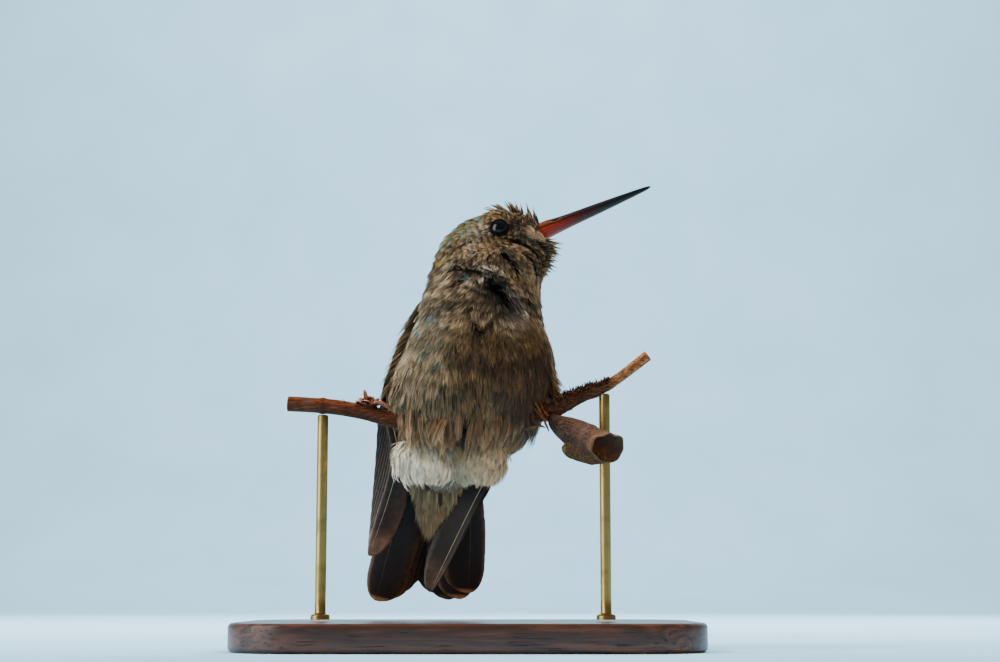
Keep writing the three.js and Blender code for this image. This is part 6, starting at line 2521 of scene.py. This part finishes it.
@dataclass(frozen=True)
class LeafFinish:
    """A dead leaf: mauve-brown with a net of raised veins, a tan, ragged rim and painted light inside the
    cup.
    """

    name: str = "dead_leaf"

    def material(self) -> bpy.types.Material:
        """The finished material: `rim` is 1 along the torn edge, `inside` is 1 in the cup.

        Returns:
            The material.
        """
        shade = Shade(self.name, {"Roughness": 0.8, "Specular IOR Level": 0.2})
        veins = shade.cells(0.55, 0.16, shade.stretched(0.7, 1, 1))
        net = shade.cells(0.28, 0.2)
        blotch = shade.noise(2.4, 5)
        skin = shade.ramp(blotch, (0.3, "36241d"), (0.5, "4c342b"), (0.7, "624839"))
        skin = shade.mix(veins * 0.55, skin, "7d6350")
        skin = shade.mix(net * 0.3, skin, "2e1e19")
        skin = shade.mix(shade.value("rim") * (0.2 + blotch * 0.4), skin, "8a6846")
        # Inside the cup the leaf is painted lighter: painted light in its shaded hollow.
        skin = shade.mix(shade.value("inside") * 0.8, skin, "94705c")
        shade.feed("Base Color", skin)
        shade.bump(veins * 0.7 + net * 0.25 + blotch * 0.3, 0.18)
        return shade.material


@dataclass(frozen=True)
class FootFinish:
    """Scaled skin of the toes, or horn of the claws."""

    name: str
    light: str
    dark: str
    roughness: float

    def material(self) -> bpy.types.Material:
        """The finished material.

        Returns:
            The material.
        """
        shade = Shade(self.name, {"Roughness": self.roughness, "Specular IOR Level": 0.4})
        seams = shade.cells(0.3, 0.15)
        tone = shade.mix(shade.noise(0.5, 3), self.dark, self.light)
        shade.feed("Base Color", shade.mix(seams * 0.7, tone, "1d1410"))
        shade.bump(1 - seams, 0.06)
        return shade.material


BUD_TONES = (("b0705a", "94604c", "d0a890", "8a5540"), ("c08468", "a06a50", "d8b098", "94604c"))
FLAP_TONES = ("6b4f33", "8a6a44", "9a7a50", "7a5a3a")


@dataclass
class Perch:
    """The vine stem: x, y and height of its middle with its radius, and what grows on it."""

    line: tuple = (
        (-30.4, -2.4, 40.6, 1.3), (-23.3, -2.8, 40.1, 1.3), (-17.5, -3.1, 39.1, 1.3),
        (-12.4, -3.2, 37.7, 1.3), (-6.6, -3.2, 37.1, 1.35), (1.8, -3.2, 37.4, 1.3), (9.3, -3.2, 38.3, 1.35),
        (13.8, -3.4, 39.7, 1.7), (18.5, -3.7, 41.8, 1.2), (23.5, -4.0, 43.8, 0.9), (29.8, -4.4, 48.5, 0.95),
    )
    bud_foot: tuple = (-16.9, -3.4, 40.0)
    bud_tips: tuple = (
        (-19.0, -3.9, 40.9), (-18.5, -2.9, 41.6), (-17.7, -3.4, 43.0), (-16.9, -4.2, 41.8),
        (-16.0, -3.2, 41.9), (-15.0, -3.5, 41.4), (-14.6, -4.2, 40.5), (-17.6, -4.9, 40.9),
    )
    leaf: tuple = (
        (13.5, -4.7, 38.6, 0.5, 0.45), (14.6, -5.5, 37.1, 1.8, 1.5), (16.9, -6.6, 35.6, 2.6, 2.35),
        (19.6, -8.2, 34.2, 2.9, 2.5), (21.6, -10.2, 33.1, 3.15, 2.5), (22.7, -11.8, 32.5, 3.2, 2.5),
    )
    strips: tuple = (
        ((9.8, -6.2, 41.9), (10.9, -6.7, 40.3), (12.1, -6.7, 38.0), (13.2, -6.5, 35.6)),
        ((9.2, -6.9, 36.0), (10.2, -7.0, 36.15), (11.3, -6.8, 36.6), (12.6, -6.5, 36.2)),
        ((10.3, -6.0, 40.1), (11.4, -6.5, 38.7), (12.6, -6.2, 37.5), (13.6, -5.6, 37.4)),
        ((11.5, -5.2, 41.0), (12.0, -5.8, 39.6), (12.9, -5.9, 38.4), (13.9, -5.2, 38.3)),
    )
    flap: tuple = ((22.4, -11.0, 30.6), (20.0, -9.8, 31.2), (17.6, -8.6, 32.0), (15.2, -7.6, 32.9))
    curl: tuple = ((-15.9, -4.5, 40.6), (-14.9, -4.9, 40.5), (-13.7, -5.0, 39.9), (-12.8, -4.9, 39.2))

    def __post_init__(self) -> None:
        """Works out the fine line of the stem once."""
        self.fine = smooth_rows(self.line, 300)

    def at(self, x: Array) -> Array:
        """Middle and radius of the stem at places along x."""
        return np.stack([np.interp(x, self.fine[:, 0], column) for column in self.fine.T], -1)

    def build(self) -> None:
        """Makes the stem, its loose fibres, the bud and the leaf."""
        self._stem().to_piece("stem", BarkFinish().material(), "vine_bark", "perch")
        dry = DryScaleFinish().material()
        self._fibres().to_piece("stem_fibres", dry, "vine_bark")
        self._bud().to_piece("bud", dry, "dry_bud", "perch_bud")
        self._leaf().to_piece("leaf", LeafFinish().material(), "dead_leaf", "perch_leaf")
        flap = Vane(
            np.array(self.flap), np.array([0.1, -0.35, 0.9]), 2.9, FLAP_TONES, rows=30, round_from=0.7,
            camber=-0.12, shaft=0.08, seed=530,
        )
        flap.draft().to_piece("leaf_flap", dry, "dead_leaf")
        strips = [self._strip(line, k) for k, line in enumerate(self.strips)]
        Draft.joined(strips).to_piece("leaf_stalks", dry, "dead_leaf")

    @staticmethod
    def roughness(x: Array) -> Array:
        """1 where the bark is cracked and shaggy: right of the knot, and a little at the bud."""
        return np.clip(ease(11.5, 13.5, x) * (1 - ease(22.8, 25, x)) + 0.6 * bell(x, -16, 2.5), 0, 1)

    def _stem(self) -> Draft:
        """A rod whose radius has fibres as sums of sines round it that drift along it.

        Ridges are deeper where the bark is cracked, and bells of radius make the nodes.

        Returns:
            The stem, with its cracked and weathered places.
        """
        line, radius = self.fine[:, :3], self.fine[:, 3]
        x = line[:, 0]
        turn = np.linspace(0, 2 * math.pi, 72, endpoint=False)
        drift = 2.2 * np.sin(x / 7)[:, None]
        ridges = (
            np.sin(9 * turn + drift + 1.5 * np.sin(x / 3.1)[:, None])
            + 0.7 * np.sin(17 * turn - 1.6 * drift + np.sin(x / 1.7)[:, None])
            + 0.5 * np.sin(29 * turn + 2.4 * drift)
        )
        rough = self.roughness(x)[:, None]
        radius = radius[:, None] - 0.05 + ridges * (0.018 + 0.055 * rough)
        radius = radius + 0.16 * (bell(x, -24.6, 0.5) + bell(x, 20.8, 0.7))[:, None]
        _, sides, ups = frames_along(line, UPWARD)
        rings = ellipses(line, sides, ups, radius, radius, 72)
        away = unit(rings - line[:, None])
        rings = rings + (rough * 0.05)[..., None] * away * ripple(rings, 0.7, 14)[..., None]
        parts = np.array([0.96, 0.9, 0.45])[:, None, None]
        first, last = (line[k] + (rings[k] - line[k]) * parts for k in (0, -1))
        draft = loft(np.concatenate([first[::-1], rings, last]))
        draft.values["rough"] = self.roughness(draft.points[:, 0])
        draft.values["worn"] = ease(22.6, 25.0, draft.points[:, 0])
        return draft

    @staticmethod
    def _strip(line: tuple, number: int) -> Draft:
        """A thin dry strip whose width swells and sinks along it.

        Args:
            line: Points of its middle line.
            number: Its number, which shifts the swelling.

        Returns:
            The strip.
        """
        fine = smooth_rows(line, 30)
        share = np.linspace(0, 1, 30)
        radii = 0.1 + 0.1 * np.sin(math.pi * share) ** 0.5 + 0.03 * np.sin(share * 17 + number)
        strip = rod(fine, radii[:, None], 10, BEHIND).coloured("8a5a34")
        strip.bake = flat_unwrap(strip.points)
        return strip

    def _fibres(self) -> Draft:
        """Loose fibres that stand up from the cracked bark, as small open fans.

        Returns:
            The fibres.
        """
        rng = np.random.default_rng(71)
        x = np.concatenate([rng.uniform(12.6, 23.3, 420), rng.normal(-16.5, 1.6, 30)])
        count = len(x)
        stem = self.at(x)
        turn = rng.normal(1.25, 0.45, count)
        away = np.stack([np.zeros(count), -np.cos(turn), np.sin(turn)], 1)
        roots = stem[:, :3] + away * (stem[:, 3] * 0.9)[:, None]
        size = rng.uniform(0.3, 0.7, count)
        lean = np.array([-0.3, 0, 0.1]) + rng.normal(0, 0.28, (count, 3))
        ends = roots + (away + lean) * size[:, None]
        path, normals, _ = hanging(roots, ends, away * (0.12 * size)[:, None], away)
        tones = uneven(("3c2416", "6b4226", "a87e55"), 0.2, count, rng)
        bake = np.stack([np.clip((x + 32) / 64, 0, 1), np.clip(turn / 3, 0, 1)], 1)
        tufts = Tufts(path, normals, size, size * 0.3, 4.0, tones, bake, barb=0.15, point=0.3)
        return tufts.draft(3, 2, 72, 0.25)

    def _bud(self) -> Draft:
        """Dry scales round a short core, and a curl of bark that peels off beside it.

        Returns:
            The bud and the curl.
        """
        foot = np.array(self.bud_foot)
        vanes = []
        for i, tip in enumerate(self.bud_tips):
            end = np.array(tip)
            out = unit((end - foot) * [1, 1, 0.1])
            middle = (foot + end) / 2 + out * 0.35
            vanes.append(Vane(
                np.array([foot, middle, end]), np.cross(end - foot, out), 2.3, BUD_TONES[i % 2], rows=14,
                round_from=0.35, camber=0.3, shaft=0.04, seed=500 + i,
            ))
        vanes.append(Vane(
            np.array(self.curl), np.array([0, -0.5, 0.8]), 0.9, BUD_TONES[0], rows=20, round_from=0.6,
            camber=0.3, shaft=0.03, seed=520,
        ))
        core = egg(foot + 0.5 * UPWARD, (1.15, 0.9, 1.1), 0.05, 14, 20)
        core = core.coloured("6d3524", barb=np.zeros(len(core.points)))
        return Draft.atlas([core, *(vane.draft() for vane in vanes)])

    def _leaf(self) -> Draft:
        """A curled leaf: an outer and an inner skin that meet in a torn rim.

        Rings follow the middle line. Their radius swells and sinks with two waves round the leaf and
        with slow unevenness, and the rim runs on or stops short by an uneven length.

        Returns:
            The leaf, with its rim and its inside.
        """
        x, y, z, wide, high = smooth_rows(self.leaf, 46).T
        line = np.stack([x, y, z], 1)
        tangents, sides, ups = frames_along(line, UPWARD)
        turn = np.linspace(0, 2 * math.pi, 90, endpoint=False)
        share = np.linspace(0, 1, 46)[:, None]
        wave = 1 + share * (0.05 * np.sin(3 * turn + 0.6) + 0.035 * np.sin(7 * turn + 4 * share))
        seam = 1 - 0.14 * bell(turn, 1.9, 0.25) * share
        outer = ellipses(line, sides, ups, wide[:, None] * wave * seam, high[:, None] * wave * seam, 90)
        away = unit(outer - line[:, None])
        outer = outer + 0.13 * ripple(outer, 1.5, 15)[..., None] * away * share[..., None]
        torn = ripple(np.stack([np.cos(turn), np.sin(turn)], 1) * 3, 2.2, 16) * 0.18 - 0.1
        outer = outer + (share**6 * torn)[..., None] * tangents[:, None]
        inner = line[:, None] + (outer - line[:, None]) * (1 - 0.16 / np.maximum(wide, 0.8))[:, None, None]
        draft = loft(np.concatenate([outer, inner[:3:-1]]))
        rim = np.concatenate([ease(0.82, 1, share[:, 0]), ease(0.9, 1, share[:3:-1, 0])]).repeat(90)
        low = 0.7 * ease(0.45, 0.9, np.repeat(share[:, 0], 90)) * np.tile(bell(turn, 4.3, 0.8), 46)
        rim[: len(low)] = np.maximum(rim[: len(low)], low)
        inside = np.repeat([0.0, 1.0], [46 * 90, 42 * 90])
        draft.values = {"rim": np.append(rim, [0, 0]), "inside": np.append(inside, [0, 1])}
        return draft


@dataclass
class Feet:
    """Both feet round the perch, each at its place along x.

    A toe has its spread along the perch, +1 to go forward or -1 to go back, and degrees of reach.
    """

    perch: Perch
    places: tuple = (("right", -6.4), ("left", 9.6))
    toe_radius: float = 0.46
    gap: float = 0.34
    toes: tuple = ((-1.15, 1, 190), (0.05, 1, 205), (1.15, 1, 190), (0.1, -1, 120))
    claw_from: float = 0.68
    shank: tuple = (0.62, 0.7, 42.4)

    def build(self) -> None:
        """Makes toes and shank, and the claws apart."""
        skin = FootFinish("toe_skin", "6b4a33", "33231a", 0.65).material()
        horn = FootFinish("claw_horn", "2c2420", "120e0c", 0.55).material()
        for side, x in self.places:
            toes, claws = [self._shank(x)], []
            for fan, way, reach in self.toes:
                toe, claw = self._toe(x, fan, way, reach)
                toes.append(toe)
                claws.append(claw)
            Draft.joined(toes).to_piece(f"foot_{side}", skin, "foot_skin", f"leg_{side}")
            Draft.joined(claws).to_piece(f"claws_{side}", horn, "foot_skin")

    def _toe(self, x: float, fan: float, way: int, reach: float) -> tuple[Draft, Draft]:
        """A toe bent round the perch from its top, ringed with scales, and its hooked claw.

        Args:
            x: The foot's place along the perch.
            fan: How far the toe spreads along the perch.
            way: +1 for a toe that goes forward, -1 for the one that goes back.
            reach: Degrees that toe and claw go round the perch.

        Returns:
            The toe and the claw.
        """
        share = np.linspace(0, 1, 60)
        along = x + fan * np.minimum(1, 1.4 * share)
        stem = self.perch.at(along)
        clear = stem[:, 3] + self.toe_radius + self.gap
        angle = np.radians(90 - reach * share)
        y, z = stem[:, 1] - way * clear * np.cos(angle), stem[:, 2] + clear * np.sin(angle)
        line = np.stack([along, y, z], 1)
        cut = int(self.claw_from * 60)
        part = share / self.claw_from
        ring = 1 + 0.06 * np.sin(part * 34) + 0.1 * bell(part, 0.35, 0.06) + 0.1 * bell(part, 0.72, 0.06)
        radius = self.toe_radius * (1 - 0.22 * part) * ring
        toe = rod(line[:cut], radius[:cut, None], 18, ACROSS)
        run = (share[cut - 3 :] - share[cut - 3]) / (1 - share[cut - 3])
        claw = rod(line[cut - 3 :], (0.3 * (1 - run) + 0.04)[:, None], 14, ACROSS)
        return toe, claw

    def _shank(self, x: float) -> Draft:
        """The bare shank from the toes up into the belly.

        Args:
            x: The foot's place along the perch.

        Returns:
            The shank.
        """
        radius, top_y, top_z = self.shank
        stem = self.perch.at(np.array([x]))[0]
        low = np.array([x, stem[1], stem[2] + stem[3] + self.gap + self.toe_radius * 0.6])
        high = np.array([x, top_y, top_z])
        line = smooth_rows([low, (low + high) / 2 + [0, 0.3, 0], high], 24)
        return rod(line, np.full((24, 1), radius), 18, ACROSS)


# ---- stand


@dataclass(frozen=True)
class WalnutFinish:
    """Oiled dark walnut: long grain along the base, pores and a satin coat."""

    name: str = "walnut"

    def material(self) -> bpy.types.Material:
        """The finished material: grain is noise stretched along X and bent by slower noise.

        Returns:
            The material.
        """
        shade = Shade(self.name, {"Specular IOR Level": 0.45, "Coat Roughness": 0.3})
        grain = shade.noise(2.6, 6, shade.stretched(0.07, 0.8, 1))
        rings = (grain * 34).wave() * 0.5 + grain * 0.5
        pores = shade.noise(0.32, 3, shade.stretched(0.06, 1, 1)).between(0.56, 0.7)
        tone = shade.ramp(rings, (0.2, "331e14"), (0.5, "47291b"), (0.8, "583626"))
        shade.feed("Base Color", shade.mix(pores * 0.7, tone, "1c100b"))
        shade.feed("Roughness", 0.36 + pores * 0.25 + rings * 0.08)
        shade.feed("Coat Weight", 0.3 - pores * 0.2)
        shade.bump(1 - pores, 0.06)
        return shade.material


@dataclass(frozen=True)
class BrassFinish:
    """Brushed brass, slightly dulled."""

    name: str = "brushed_brass"

    def material(self) -> bpy.types.Material:
        """The finished material: fine lines run round the rod, with a little tarnish.

        Returns:
            The material.
        """
        shade = Shade(self.name, {"Metallic": 1.0})
        lines = shade.noise(0.12, 3, shade.stretched(0.3, 0.3, 1))
        dull = shade.noise(4.0, 5).between(0.45, 0.7)
        shade.feed("Base Color", shade.mix(dull * 0.6, "d0ab62", "8f6f3d"))
        shade.feed("Roughness", 0.26 + lines * 0.16 + dull * 0.14)
        shade.bump(lines, 0.01)
        return shade.material


@dataclass
class Stand:
    """A flat wooden base and two brass rods up to the perch."""

    perch: Perch
    size: tuple = (76.0, 50.0, 4.6)
    corner: float = 12.0
    edge: float = 0.8
    rods: tuple = (("left", -24.5), ("right", 22.5))
    rod_radius: float = 0.9
    foot: float = 4.9

    def build(self) -> None:
        """Makes the base and the rods."""
        self._base().to_piece("base", WalnutFinish().material(), "stand_wood", "stand_base")
        brass = BrassFinish().material()
        for side, x in self.rods:
            self._rod(x).to_piece(f"rod_{side}", brass, "stand_brass", f"stand_rod_{side}")

    def _base(self) -> Draft:
        """A slab with round corners: outlines stacked up, drawn in along a quarter round at each edge.

        Returns:
            The slab.
        """
        length, depth, high = self.size
        bend = np.linspace(0, math.pi / 2, 7)
        rising, closing = self.edge * (1 - np.cos(bend)), self.edge * (1 - np.sin(bend))
        inner = [14.0, 4.0, self.edge + 0.4]
        inset = np.concatenate([inner, closing, rising, inner[::-1]])
        level = np.concatenate([[0, 0, 0], rising, high - closing, [high] * 3])
        turn = np.linspace(0, 2 * math.pi, 144, endpoint=False) + 0.01
        way = np.stack([np.cos(turn), np.sin(turn)], 1)
        heart = np.sign(way) * np.array([length / 2 - self.corner, depth / 2 - self.corner])
        rings = np.zeros((len(inset), 144, 3))
        shrink = np.clip((inset - 1.5) / (self.corner + 4), 0, 1)[:, None, None]
        rounding = self.corner - np.minimum(inset, self.corner)
        rings[..., :2] = heart * (1 - shrink) + way * rounding[:, None, None]
        rings[..., 2] = level[:, None]
        return loft(rings)

    def _rod(self, x: float) -> Draft:
        """A turned rod with a small collar at its foot, cut to the underside of the perch.

        Args:
            x: The rod's place along the perch.

        Returns:
            The rod.
        """
        stem = self.perch.at(np.array([x]))[0]
        top = stem[2] - stem[3] - 0.25
        level = np.array([0, 0.001, 0.6, 0.8, 0.9, 1.1, top - self.foot - 0.2, top - self.foot]) + self.foot
        collar = np.array([0.3, 1.6, 1.6, 1.45, 1.1, 0.9, 0.9, 0.75]) / 0.9 * self.rod_radius
        fine, radius = (np.interp(np.linspace(0, 7, 120), np.arange(8), row) for row in (level, collar))
        line = np.stack([np.full(120, x), np.full(120, stem[1]), fine], 1)
        return loft(ellipses(line, ACROSS, BEHIND, radius, radius, 40))


# ---- studio


@dataclass(frozen=True)
class Lamp:
    """One area light aimed at a point: sizes in millimetres, power in watts.

    `tall` is its height where that differs from its width. `glints` is whether it shows in
    reflections, and `shine_only` whether it shows in them alone.
    """

    name: str
    place: tuple[float, float, float]
    aim: tuple[float, float, float]
    size: float
    power: float
    tall: float = 0.0
    glints: bool = False
    shine_only: bool = False
    tint: str = "ffffff"

    def build(self) -> None:
        """Makes the light."""
        data = bpy.data.lights.new(self.name, "AREA")
        data.shape = "RECTANGLE"
        data.size = self.size * MM
        data.size_y = (self.tall or self.size) * MM
        data.energy = self.power
        data.color = colour(self.tint)
        light = bpy.data.objects.new(self.name, data)
        light.location = [v * MM for v in self.place]
        light.visible_glossy = self.glints
        light.visible_diffuse = not self.shine_only
        way = Vector(self.aim) - Vector(self.place)
        light.rotation_euler = way.to_track_quat("-Z", "Y").to_euler()
        bpy.context.scene.collection.objects.link(light)


LAMPS = (
    Lamp("key", (-380, -130, 380), (0, 0, 50), 150, 4.2),
    Lamp("strip", (-315, -150, 125), (0, 0, 60), 230, 1.5, tall=560, glints=True, shine_only=True),
    Lamp("fill", (300, -320, 40), (0, 0, 50), 260, 1.5, tint="ffc593"),
    Lamp("rim", (200, 320, 320), (0, 0, 50), 200, 3.0),
    Lamp("window", (-340, 150, 110), (0, 0, 50), 220, 1.6),
    Lamp("wash", (0, 150, 620), (0, 880, 160), 500, 26.0),
)


@dataclass
class Studio:
    """A plain pale sweep of floor and backdrop, soft lights and the camera."""

    floor: tuple = (1200, 900, 700)
    front: float = -700
    bend: float = 300
    lamps: tuple[Lamp, ...] = LAMPS
    lens: float = 64.218
    sensor: float = 36
    tilt: float = 98.4
    air: str = "d4d8da"
    air_strength: float = 0.2

    def build(self) -> None:
        """Makes the stage, the lights and the camera."""
        self._sweep()
        for lamp in self.lamps:
            lamp.build()
        world = bpy.data.worlds.new("studio")
        bpy.context.scene.world = world
        world.use_nodes = True
        background = world.node_tree.nodes["Background"]
        background.inputs["Color"].default_value = (*colour(self.air), 1)
        background.inputs["Strength"].default_value = self.air_strength
        data = bpy.data.cameras.new("camera")
        data.lens = self.lens
        data.sensor_width = self.sensor
        camera = bpy.data.objects.new("camera", data)
        camera.location = [v * MM for v in EYE]
        camera.rotation_euler = (math.radians(self.tilt), 0, 0)
        bpy.context.scene.collection.objects.link(camera)
        bpy.context.scene.camera = camera

    def _sweep(self) -> None:
        """The floor that curves up into the backdrop: a straight line, an arc and a straight line."""
        half, far, high = self.floor
        turn = np.linspace(0, math.pi / 2, 16)
        y = np.concatenate([[self.front], far - self.bend + self.bend * np.sin(turn), [far]])
        z = np.concatenate([[0], self.bend - self.bend * np.cos(turn), [high]])
        x = np.linspace(-half, half, 5)
        points = np.stack([*np.meshgrid(x, y, indexing="xy"), np.repeat(z[:, None], 5, 1)], -1).reshape(-1, 3)
        draft = Draft(points, grid_quads(len(y), 5))
        shade = Shade("studio_paper", {"Roughness": 0.9, "Specular IOR Level": 0.2})
        grain = shade.noise(60, 2)
        shade.feed("Base Color", shade.ramp(grain, (0.3, "7fa6ba"), (0.7, "86adc0")))
        sweep = bpy.data.objects.new("backdrop", draft.to_mesh("backdrop"))
        sweep.data.materials.append(shade.material)
        bpy.context.scene.collection.objects.link(sweep)


def main() -> None:
    """Builds every part in order and reports it."""
    logging.basicConfig(level=logging.INFO, format="%(name)s: %(message)s")
    Studio().build()
    trunk, skull, lie = Trunk(), Skull(), Lie()
    skin = Skin(trunk, skull, lie)
    skin.build()
    skin.draft.to_piece("skin", SkinFinish().material(), "body_feathers", "head", "neck", "torso")
    Coat(skin).build()
    Crest(skin).build()
    Locks(skin).build()
    Shoulders(skin).build()
    Eyes(skull).build()
    Bill(skull).build()
    flight = VaneFinish("flight_vanes").material()
    wings = (
        Wing(
            trunk, "wing_right", hand=-1, turn=0, low=((-12.7, 5.2, 31.4), (-15.2, 7.4, 41.0)),
            tip=((-17.5, 9.6, 15.6), (-15.7, 8.8, 36.5)),
            edges=((0.25, 0.97, 0), (0.98, 0.2, 0), (0.6, 0.8, 0)), seed=100,
        ),
        Wing(
            trunk, "wing_left", hand=1, turn=22, low=((3.4, 5.5, 30.2), (8.8, 8.8, 41.2)),
            tip=((-7.0, 10.4, 9.4), (7.4, 8.9, 35.0)),
            edges=((-0.55, 0.83, 0), (-0.98, 0.2, 0), (-0.8, 0.6, 0)), seed=200,
            # The left wing's hand takes darker copies of the tones: painted shade.
            bend=((42.8, 45.5), (17, 39), (0.9, 2.2)), hand_tones=(SHADED_OUTER_TONES, SHADED_WING_TONES),
        ),
    )
    for wing in wings:
        wing.build(flight)
    Tail().build(VaneFinish("tail_vanes", 0.36).material())
    SoftFeathers().build()
    perch = Perch()
    perch.build()
    Feet(perch).build()
    Stand(perch).build()


if __name__ == "__main__":
    main()
